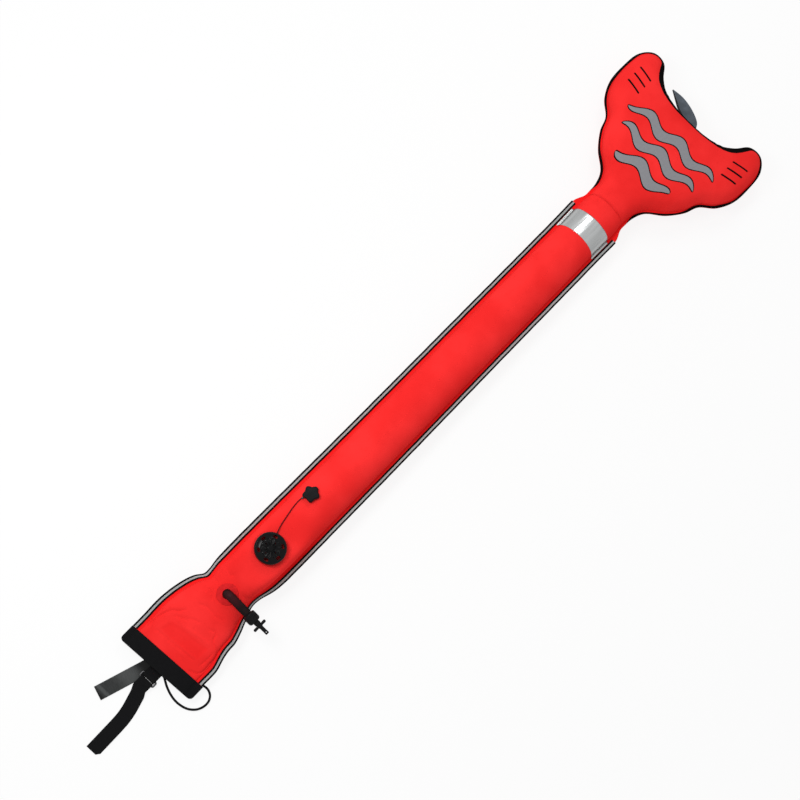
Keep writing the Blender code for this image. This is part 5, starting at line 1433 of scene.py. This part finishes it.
class AddSilverBand(bpy.types.Operator):
    """Add the reflective band across the front panel"""
    bl_idname = "buoy.add_silver_band"
    bl_label = "Reflective band"

    def execute(self, context):
        reach = TAPE_SIDE - context.scene.buoy_sizes.tape_width - 0.5 * MM
        rows = []
        for distance in np.linspace(SILVER_END - SILVER_WIDTH, SILVER_END, 25):
            centre, half = section(distance)[:2]
            ys = across_tube(distance, reach * np.array((1.0, 0.7, 0.42)), 88)
            across = np.clip(np.abs(ys - centre) / half, 0.0, 1.0)
            crease = ripples(ys + 2 * MM * math.sin(distance / (17 * MM)), (11.0, 6.7, 17.0))
            z = raised_z(distance, ys, FABRIC + GAP, steps=73)
            rows.append(world_points(distance, ys, z + 0.16 * MM * crease * (1.0 - across ** 4)))
        mesh = grid_mesh(rows)
        face_towards(mesh, UP)
        add_piece("silver_band", mesh, ["silver_tape"], replaces="reflective_band",
                  smooth=60.0, wall=0.3 * MM)
        return {"FINISHED"}


class AddFin(bpy.types.Operator):
    """Add the flat fin on the head's leading edge"""
    bl_idname = "buoy.add_fin"
    bl_label = "Fin"

    def execute(self, context):
        sizes = context.scene.buoy_sizes
        low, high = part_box("head_fin")
        edge = head_edge(4 * MM)
        edge = edge[(edge[:, 0] > NECK + 228 * MM) & (np.abs(edge[:, 1]) < 60 * MM)]
        edge = edge[np.argsort(edge[:, 1])]
        roots = [np.array((self.root_x(edge, y), y)) for y in (-low.y, low.y)]
        tip = np.array((along_x(NECK + 268 * MM), 66 * MM))
        blunt = np.array((1.0, -0.4)) * MM
        near = tip + np.array(((-21.0, -31.0), (-12.5, -17.0))) * MM
        far = roots[1] + np.array(((0.0, 0.0), (14.0, 9.0), (25.0, 32.0), (30.0, 58.0))) * MM
        near = curve_through(np.vstack([roots[0], near, tip - blunt]), 1 * MM)
        far = curve_through(np.vstack([far, tip + blunt]), 1 * MM)
        shares = np.linspace(0.0, 1.0, 32)
        near = points_at(near, shares * line_lengths(near)[-1])
        far = points_at(far, shares * line_lengths(far)[-1])
        middle, half = (low.z + high.z) / 2.0, (high.z - low.z) / 2.0
        rings = []
        for share, start, end in zip(shares, near, far):
            width = np.linalg.norm(end - start)
            round_off = min(0.5 * MM, 0.2 * width)
            rim = min(sizes.fin_rim * (1.0 - share ** 3), 0.5 * width)
            top = [(0.0, 0.4), (round_off, 1.0), (max(rim, 1.2 * round_off), 1.0), (0.6 * width, 1.0),
                   (width - round_off, 1.0), (width, 0.4)]
            ring = []
            for reach, height in top + [(reach, -height) for reach, height in reversed(top)]:
                x, y = start + (end - start) * reach / width
                bow = self.root_x(edge, y) - x
                ring.append((x + bow * (share == 0.0), y, middle + half * height))
            rings.append(ring)
        mesh = grid_mesh(rings, closed=True, caps=True, stripes=(1, 1, 0, 0, 0, 0, 0, 0, 0, 1, 1, 1))
        add_piece("fin", mesh, ["fin_face", "fin_rim"], replaces="head_fin", smooth=50.0)
        return {"FINISHED"}

    def root_x(self, edge, y):
        """World X of the head's edge where the fin is sewn on."""
        return along_x(np.interp(y, edge[:, 1], edge[:, 0])) + 2.0 * GAP


class AddHem(bpy.types.Operator):
    """Add the binding on both edges of the mouth and its stitches"""
    bl_idname = "buoy.add_hem"
    bl_label = "Mouth binding"

    def execute(self, context):
        sizes = context.scene.buoy_sizes
        lift = FABRIC + GAP + sizes.band_thickness
        centre, half = section(0.0)[:2]
        ys = np.linspace(centre - half - 9 * MM, centre + half + 9 * MM, 120)
        for face, side in FACES:
            add_piece("binding_" + face, self.band(sizes, side), ["binding"],
                      replaces="hem_band_" + face, smooth=50.0)
        for face, side in FACES:
            rows = []
            for inward in (3 * MM, 5.4 * MM):
                distance = BAND_DEPTH - inward
                z = raised_z(distance, ys, lift, side)
                rows.append(world_points(hem_distance(distance, ys), ys, z))
            add_stitches("stitches_" + face, rows, (0.0, 0.0, side), 1.35)
        return {"FINISHED"}

    def band(self, sizes, side):
        """Binding over one panel's edge: a lip round the fabric's end and a flat band on its face."""
        inner = FABRIC + GAP
        outer = inner + sizes.band_thickness
        ring = [
            (-BAND_LIP + 0.5 * MM, outer), (2 * MM, outer), (7 * MM, outer + 0.1 * MM),
            (11 * MM, outer), (16 * MM, outer), (21 * MM, outer + 0.08 * MM), (25 * MM, outer),
            (BAND_DEPTH - 0.4 * MM, outer), (BAND_DEPTH, outer - 0.5 * MM), (BAND_DEPTH, inner),
            (20 * MM, inner), (10 * MM, inner), (-GAP, inner), (-GAP, 0.0), (-BAND_LIP, 0.0),
            (-BAND_LIP, outer - 0.6 * MM),
        ]
        centre, half = section(0.0)[:2]
        edge = half + FABRIC_IN_TAPE
        past_fabric = np.append(np.array((1.55, 1.2, 0.8, 0.4, 0.0)) * MM + GAP, BAND_OVERHANG)
        reaches = np.concatenate([np.sort(past_fabric)[::-1] + FABRIC_IN_TAPE,
                                  np.linspace(FABRIC_IN_TAPE, 0.0, 6)[:-1]])
        ys = across_tube(0.0, reaches, 60)
        away = np.abs(ys - centre)
        beyond = away > edge + 0.5 * GAP
        round_off = ease(away, edge + 1.2 * MM, edge + BAND_OVERHANG) * 0.5 * MM
        columns = []
        for x, lift in ring:
            at = max(x, 0.0)
            used = np.where(beyond & (lift == inner), 0.02 * MM, lift)
            flat = section(at)[2] + side * (HALF_GAP + used)
            z = np.where(beyond, flat, raised_z(at, ys, lift, side))
            z = z - side * round_off * (lift >= outer - 0.6 * MM)
            columns.append(world_points(hem_distance(x, ys, sizes.hem_corner), ys, z))
        return grid_mesh(np.stack(columns, axis=1), closed=True, caps=True)


class AddStraps(bpy.types.Operator):
    """Add the tab, its ring, the tail webbing, the coated strap and the elastic's crimp"""
    bl_idname = "buoy.add_straps"
    bl_label = "Straps and ring"

    def execute(self, context):
        sizes = context.scene.buoy_sizes
        ring_z = node_middle("tail_ring").z
        self.add_tab(sizes, ring_z)
        self.add_ring(sizes, ring_z)
        self.add_tail(sizes, ring_z)
        self.add_coated_strap(sizes)
        self.add_crimp()
        return {"FINISHED"}

    def add_tab(self, sizes, ring_z):
        radius = sizes.ring_wire + GAP + sizes.tab_thickness / 2.0
        low = radius - sizes.tab_thickness
        line = [(x, low) for x in np.linspace(14.0, -7.0, 15) * MM]
        line += [(-10 * MM, 0.45 * low - 0.1 * MM), (-12.6 * MM, -0.9 * MM), (-14.8 * MM, -2.1 * MM)]
        for angle in np.radians(np.linspace(275.0, 90.0, 16)):
            line.append((-18.9 * MM + radius * math.cos(angle), radius * math.sin(angle)))
        line += [(x, radius) for x in np.linspace(-17.4, 14.0, 21) * MM]
        points = np.array([(along_x(x), 0.0, ring_z + z) for x, z in line])
        mesh = strip_mesh(points, (0.0, 1.0, 0.0), sizes.webbing_width, sizes.tab_thickness, 0.05 * MM)
        add_piece("tab", mesh, ["webbing"], replaces="hem_tab", smooth=45.0)
        low_face = (ring_z + low - sizes.tab_thickness / 2.0) / MM
        box = [(-6.0, -9.5), (-6.0, 9.5), (11.0, 9.5), (11.0, -9.5), (-6.0, -9.5), (11.0, 9.5)]
        corners = to_world([(x, y, low_face) for x, y in box])
        lines = [np.linspace(start, end, 12) for start, end in zip(corners, corners[1:])]
        add_stitches("tab_stitches", lines, (0.0, 0.0, -1.0), 1.3)

    def add_ring(self, sizes, ring_z):
        """Wire ring with rounded corners, a little wider than the webbing that lies in it."""
        half = sizes.webbing_width / 2.0 + 0.5 * MM + sizes.ring_wire
        middle = along_x((TAB_BAR + TAIL_BAR) / 2.0)
        corner = 2.5 * MM
        points = []
        for x_sign, y_sign, first in ((1, 1, 0.0), (-1, 1, 90.0), (-1, -1, 180.0), (1, -1, 270.0)):
            x = middle + x_sign * ((TAB_BAR - TAIL_BAR) / 2.0 - corner)
            y = y_sign * (half - corner)
            for angle in np.radians(first + np.linspace(0.0, 90.0, 9)):
                points.append((x + corner * math.cos(angle), y + corner * math.sin(angle), ring_z))
        add_piece("wire_ring", tube_mesh(points, sizes.ring_wire, 20, closed=True), ["wire_steel"],
                  replaces="tail_ring", body="ring", smooth=80.0)

    def add_tail(self, sizes, ring_z):
        """Webbing that laps round the ring's bar and is cut slantwise at its free end."""
        bar = np.array((along_x(TAIL_BAR), 0.0, ring_z))
        radius = sizes.ring_wire + GAP + sizes.webbing_thickness / 2.0
        lap = 15 * MM
        under = np.linspace(bar + (MM - lap, 0.0, -radius), bar + (-MM, 0.0, -radius), 9)
        turns = np.radians(np.linspace(-90.0, 90.0, 15))
        arc = bar + radius * np.stack([np.cos(turns), np.zeros(len(turns)), np.sin(turns)], axis=1)
        layers = sizes.webbing_thickness + GAP
        over = [arc[-1], bar + (-lap / 3.0, 0.0, radius - 0.4 * sizes.webbing_thickness),
                bar + (-2.0 * lap / 3.0, 0.0, 1.3 * layers - radius),
                bar + (-lap, 0.0, 1.1 * layers - radius)]
        rest = curve_through(np.vstack([over, to_world(TAIL_ROUTE)]), 1.6 * MM)
        path = np.vstack([under, arc[:-1], rest])
        across = np.array([self.tail_across(point[0]) for point in path])
        mesh = strip_mesh(path, across, sizes.webbing_width, sizes.webbing_thickness, 0.12 * MM)
        corner = Vector((along_x(-157 * MM), -29.8 * MM, 0.0))
        away = Vector((-0.62, -0.78, 0.0)).normalized()
        geometry_parts = mesh.verts[:] + mesh.edges[:] + mesh.faces[:]
        bmesh.ops.bisect_plane(mesh, geom=geometry_parts, plane_co=corner, plane_no=away, clear_outer=True)
        close_ends(mesh)
        face_outwards(mesh)
        add_piece("tail_webbing", mesh, ["webbing"], replaces="tail_strap",
                  body="strap", smooth=45.0)
        top = rest + (0.0, 0.0, sizes.webbing_thickness / 2.0 + 0.05 * MM)
        lap_part = top[(top[:, 0] < bar[0] - 4 * MM) & (top[:, 0] > bar[0] - 14 * MM)]
        sideways = np.array(self.tail_across(bar[0])) * sizes.webbing_width
        lines = [lap_part + share * sideways for share in (-0.36, -0.12, 0.12, 0.36)]
        add_stitches("tail_stitches", lines, UP, 1.2, body="strap")

    def tail_across(self, x):
        angle = 0.0
        for degrees, start, length in TAIL_TURNS:
            angle += math.radians(degrees) * min(max((along_x(start) - x) / length, 0.0), 1.0)
        return (-math.sin(angle), math.cos(angle), 0.0)

    def add_coated_strap(self, sizes):
        half_gap = sizes.gloss_thickness / 2.0 + HALF_GAP
        middle = curve_through(to_world(LOOP_ROUTE), 1.6 * MM)
        turn = math.radians(LOOP_TURN)
        across = np.array((-math.sin(turn), math.cos(turn), 0.0))
        along = directions(middle)
        up = np.cross(across, along)
        up *= np.sign(up[:, 2:3])
        away = along[-1]
        fold = []
        for angle in np.radians(np.linspace(75.0, -75.0, 9)):
            reach = away * (0.5 * MM + (half_gap + HALF_GAP) * math.cos(angle))
            fold.append(middle[-1] + reach + np.array((0.0, 0.0, (half_gap + HALF_GAP) * math.sin(angle))))
        path = np.vstack([middle + up * half_gap, fold, (middle - up * half_gap)[::-1]])
        mesh = strip_mesh(path, across, sizes.webbing_width, sizes.gloss_thickness)
        add_piece("coated_strap", mesh, ["gloss_webbing"], replaces="loop_strap",
                  smooth=45.0)

    def add_crimp(self):
        mesh = bmesh.new()
        add_block(mesh, (13 * MM, 6.4 * MM, 4.8 * MM), 1.3 * MM, Matrix.Identity(4))
        for vert in mesh.verts:
            for at in (-3.2 * MM, 3.2 * MM):
                pinch = hump(vert.co.x, at, 1.1 * MM)
                vert.co.y *= 1.0 - 0.1 * pinch
                vert.co.z *= 1.0 - 0.14 * pinch
        move_mesh(mesh, node_middle("bungee_crimp"))
        add_piece("crimp", mesh, ["wire_steel"], replaces="bungee_crimp", smooth=50.0)


class AddDumpValve(bpy.types.Operator):
    """Add the dump valve's cap and the eyelet of its pull cord"""
    bl_idname = "buoy.add_dump_valve"
    bl_label = "Dump valve"

    def execute(self, context):
        sizes = context.scene.buoy_sizes
        low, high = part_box("valve_cap")
        place = Vector(((low.x + high.x) / 2.0, (low.y + high.y) / 2.0, high.z - 15 * MM))
        start, end = (Vector(point) for point in to_world(PULL_ROUTE[:2]))
        away = (end - start).normalized()
        start.y += PULL_SLIDE_ROOM
        mesh = combine(self.cap_body(sizes, place), self.cap_openings(sizes, place, start, away))
        add_piece("cap", mesh, ["cap_plastic"], replaces="valve_cap", smooth=32.0)
        place = Vector((place.x, place.y + PULL_SLIDE_ROOM, start.z))
        place += away * (sizes.cap_radius - 0.35 * MM)
        outline = ((2.6, 0, 0), (2.6, 1, 0.45), (1.8, 1, 0.3), (1.8, 0, 0))
        add_piece("cord_eyelet", lathe(outline, 24, place, away, closed=True), ["cap_plastic"])
        return {"FINISHED"}

    def cap_body(self, sizes, place):
        """Turned cap with a raised middle, a ring of flutes round it and a rounded rim."""
        radius = sizes.cap_radius / MM
        outline = [
            (0, 15, 0), (4.7, 15, 0.5), (5.3, 14.2, 0.2), (6, 14.2, 0), (6.6, 14.75, 0),
            (8, 14.8, 0), (10, 14.8, 0), (12, 14.8, 0), (14, 14.8, 0), (15.4, 14.75, 0),
            (16.1, 14.3, 0), (16.7, 14.9, 0.25), (17.4, 14.9, 0.25), (17.9, 14.6, 0),
            (radius - 2.6, 14.6, 0.9), (radius, 12.6, 2.2), (radius, 2, 0.4), (23.5, 2, 0.3),
            (23.5, 12.9, 0), (0, 12.9, 0),
        ]
        mesh = lathe(outline, 168)
        for vert in mesh.verts:
            reach, angle = polar(vert)
            if 6.3 * MM < reach < 15.8 * MM and vert.co.z > 14 * MM:
                vert.co.z -= 1.4 * MM * (0.5 + 0.5 * math.cos(12.0 * angle)) ** 1.5
        move_mesh(mesh, place)
        return mesh

    def cap_openings(self, sizes, place, start, away):
        """Windows, small round holes and the cord's hole, as one cutting shape."""
        mesh = bmesh.new()
        top = place + Vector((0.0, 0.0, 14 * MM))
        for k in range(6):
            turn = Matrix.Rotation(math.radians(22.0 + 60.0 * k), 4, "Z")
            out = Matrix.Translation((sizes.cap_radius - 6.8 * MM, 0.0, 0.0))
            add_block(mesh, (4.8 * MM, 7.8 * MM, 12 * MM), 1.8 * MM, Matrix.Translation(top) @ turn @ out)
        for k in range(4):
            spot = top + Matrix.Rotation(math.radians(90.0 * k), 3, "Z") @ Vector((11 * MM, 0.0, 0.0))
            add_cylinder(mesh, 1.1 * MM, 6 * MM, Matrix.Translation(spot))
        turn = away.to_track_quat("Z", "Y").to_matrix().to_4x4()
        add_cylinder(mesh, 1.85 * MM, 12 * MM, Matrix.Translation(start) @ turn)
        face_outwards(mesh)
        return mesh


class AddInflator(bpy.types.Operator):
    """Add the inflator's patch, hose, locking collar and stem"""
    bl_idname = "buoy.add_inflator"
    bl_label = "Inflator"

    def execute(self, context):
        sizes = context.scene.buoy_sizes
        middle = node_middle("locking_collar")
        axis = Vector((middle.x, 0.0, middle.z))
        self.add_patch(sizes)
        self.add_hose(sizes, axis)
        self.add_collar(sizes, axis)
        self.add_stem(axis)
        return {"FINISHED"}

    def add_patch(self, sizes):
        """Round film patch that follows the fabric, raised a little but for its edge."""
        rows = []
        outer = sizes.hose_radius + 10.5 * MM
        angles = np.linspace(0.0, TURN, 96, endpoint=False)
        for radius in np.linspace(sizes.hose_radius + 2.0 * GAP, outer, 12):
            distance = PATCH_AT[0] + radius * np.cos(angles)
            y = PATCH_AT[1] + radius * np.sin(angles)
            near = 1.0 - ease(radius, outer - 1.8 * MM, outer)
            z = raised_z(distance, y, FABRIC + 0.25 * MM) + 0.12 * MM * near
            rows.append(world_points(distance, y, z))
        mesh = grid_mesh(rows, closed=True)
        face_towards(mesh, UP)
        add_piece("patch", mesh, ["welded_patch"], replaces="inflator_patch", smooth=60.0,
                  wall=0.7 * MM)

    def hose_path(self, axis):
        """Middle line of the hose: up from the fabric, round its elbow and out to the collar."""
        top = axis.z + 7 * MM
        bend = 8 * MM
        start_y = PATCH_AT[1]
        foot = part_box("inflator_hose")[0].z
        line = [(start_y, z) for z in np.linspace(foot, top - bend, 6)]
        for angle in np.radians(np.linspace(0.0, 90.0, 10))[1:]:
            line.append((start_y - bend * (1.0 - math.cos(angle)), top - bend * (1.0 - math.sin(angle))))
        ys = np.linspace(start_y - bend - 3 * MM, -41.8 * MM, 18)
        line += list(zip(ys, top + (axis.z - top) * ease(-ys, bend + 6 * MM - start_y, 30.3 * MM)))
        return np.array([(axis.x, y, z) for y, z in line])

    def add_hose(self, sizes, axis):
        path = self.hose_path(axis)
        lengths = line_lengths(path)
        whole = lengths[-1]
        outer = sizes.hose_radius - 0.05 * MM + 0.35 * MM * hump(lengths, 19 * MM, 9 * MM)
        outer = outer - 0.4 * MM * (1.0 - ease(lengths, 0.0, 0.8 * MM))
        outer = outer - 0.35 * MM * ease(lengths, whole - 0.8 * MM, whole)
        shell = rings_along(path, outer, 32)
        bore = rings_along(path, sizes.hose_radius - 2.5 * MM, 32)[::-1]
        mesh = grid_mesh(np.concatenate([shell, bore]), closed=True, looped=True)
        add_piece("hose", mesh, ["hose_rubber"], replaces="inflator_hose", smooth=50.0)

    def add_collar(self, sizes, axis):
        """Turned collar whose side is cut into ribs."""
        radius = sizes.collar_radius
        outline = [(5.8, 60.5, 0.4), (radius / MM, 60.5, 4.4), (radius / MM, 42.6, 3), (7.8, 42.6, 0.3),
                   (7.8, 58.2, 0), (5.8, 58.2, 0)]
        profile = rounded(in_mm(outline), 5)
        spots = [k for k in range(len(profile)) if abs(profile[k][0] - radius) < 0.01 * MM]
        first, last = profile[spots[0]], profile[spots[-1]]
        at = max(k for k in spots if abs(profile[k][1] - first[1]) < 0.01 * MM) + 1
        mesh = turned(profile[:at] + list(np.linspace(first, last, 12)[1:-1]) + profile[at:], 144)
        for vert in mesh.verts:
            reach, angle = polar(vert)
            if reach > radius - 1.2 * MM:
                depth = ease(vert.co.z, 45.2 * MM, 46.6 * MM) * (1.0 - ease(vert.co.z, 56.4 * MM, 57.8 * MM))
                groove = 0.55 * MM * depth * (0.5 + 0.5 * math.cos(24.0 * angle)) ** 2
                vert.co.xy *= (reach - groove) / reach
        place_mesh(mesh, axis, OUTWARD)
        add_piece("collar", mesh, ["collar_plastic"], replaces="locking_collar",
                  body="inflator_lock", smooth=35.0)

    def add_stem(self, axis):
        """Neck, crossbar and nozzle in one moulding, with its bore and the hole across its end."""
        outline = [(0, 88, 0), (3.3, 88, 0.9), (3.3, 74, 1), (4, 72, 1), (4, 67.2, 0.4),
                   (5.4, 66, 0.8), (5.4, 48.8, 0.3), (0, 48.8, 0)]
        stem = lathe(outline, 48, axis, OUTWARD)
        outline = [(0, -13, 0), (2.7, -13, 2.2), (2.3, 0, 0), (2.7, 13, 2.2), (0, 13, 0)]
        crossbar = lathe(outline, 28, axis + 69.5 * MM * Vector(OUTWARD), (1.0, 0.0, 0.0))
        stem = combine(stem, crossbar, "UNION")
        along = Matrix.Rotation(math.radians(90.0), 4, "X")
        stretch = Matrix.Diagonal((1.0, 1.8, 1.0, 1.0))
        cuts = ((71.0, 1.7, 38.4, along, 24), (84.4, 0.75, 10.0, stretch, 28))
        for out, radius, depth, turn, segments in cuts:
            cutter = bmesh.new()
            spot = Matrix.Translation(axis + out * MM * Vector(OUTWARD))
            add_cylinder(cutter, radius * MM, depth * MM, spot @ turn, segments)
            stem = combine(stem, cutter)
        add_piece("stem", stem, ["stem_plastic"], replaces="inflator_stem",
                  body="inflator_button", smooth=35.0)


class AddInnerParts(bpy.types.Operator):
    """Add the duckbill sheets and finish the CAD pieces that stay"""
    bl_idname = "buoy.add_inner_parts"
    bl_label = "Inner parts"

    def execute(self, context):
        for face, side in FACES:
            add_piece("duckbill_" + face, self.duckbill(side), ["duckbill_sheet"],
                      replaces="baffle_" + face, smooth=60.0, wall=0.5 * MM)
        finishes = {
            "valve_base": "valve_red", "valve_poppet": "valve_red", "valve_gasket": "seal_rubber",
            "valve_seal": "seal_rubber", "valve_spring": "spring_steel", "inflator_spring": "spring_steel",
            "inflator_base_ring": "seal_rubber", "inflator_body": "collar_plastic",
            "inflator_poppet": "spring_steel", "inflator_washer": "seal_rubber",
        }
        for node, finish in finishes.items():
            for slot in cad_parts[node].material_slots:
                slot.material = finish_named(finish)
        return {"FINISHED"}

    def duckbill(self, side):
        """Sheet inside the mouth, sloping from its panel to the middle of the bag."""
        rows = []
        for part in np.linspace(0.0, 1.0, 40):
            distance = (34.0 + 114.0 * part) * MM
            centre, half, plane = section(distance)[:3]
            width = half * (0.82 - 0.2 * part)
            ys = centre + width * np.linspace(-1.0, 1.0, 41)
            room = np.maximum(crown_height(distance, ys) - 1.5 * MM - HALF_GAP, 0.0)
            ripple = 0.12 * MM * np.sin(ys / (5.5 * MM)) * math.sin(math.pi * part)
            z = plane + side * (HALF_GAP + room * (1.0 - part) ** 0.8 + np.abs(ripple))
            rows.append(world_points(hem_distance(distance, ys), ys, z))
        mesh = grid_mesh(rows)
        face_towards(mesh, (0.0, 0.0, side))
        return mesh


GROUPS = {"buoy_sizes": BuoySizes, "buoy_colours": BuoyColours, "buoy_stage": BuoyStage}
STEPS = (AddStage, AddCords, AddBag, AddTapes, AddSilverBand, AddFin, AddHem, AddStraps, AddDumpValve,
         AddInflator, AddInnerParts)


class BuoyPanel(bpy.types.Panel):
    """Sidebar panel with the buoy's pieces and properties"""
    bl_idname = "VIEW3D_PT_marker_buoy"
    bl_label = "Marker Buoy"
    bl_space_type = "VIEW_3D"
    bl_region_type = "UI"
    bl_category = "Marker Buoy"

    def draw(self, context):
        for step in STEPS:
            self.layout.operator(step.bl_idname)
        for name in GROUPS:
            group = getattr(context.scene, name)
            box = self.layout.box()
            for key in group.bl_rna.properties.keys():
                if key not in ("rna_type", "name"):
                    box.prop(group, key)


def register():
    for kind in (*GROUPS.values(), *STEPS, BuoyPanel):
        bpy.utils.register_class(kind)
    for name, kind in GROUPS.items():
        setattr(bpy.types.Scene, name, bpy.props.PointerProperty(type=kind))


def unregister():
    for name in GROUPS:
        delattr(bpy.types.Scene, name)
    for kind in (BuoyPanel, *reversed(STEPS), *GROUPS.values()):
        bpy.utils.unregister_class(kind)


def main():
    register()
    for step in STEPS:
        group, name = step.bl_idname.split(".")
        getattr(getattr(bpy.ops, group), name)()


if __name__ == "__main__":
    main()
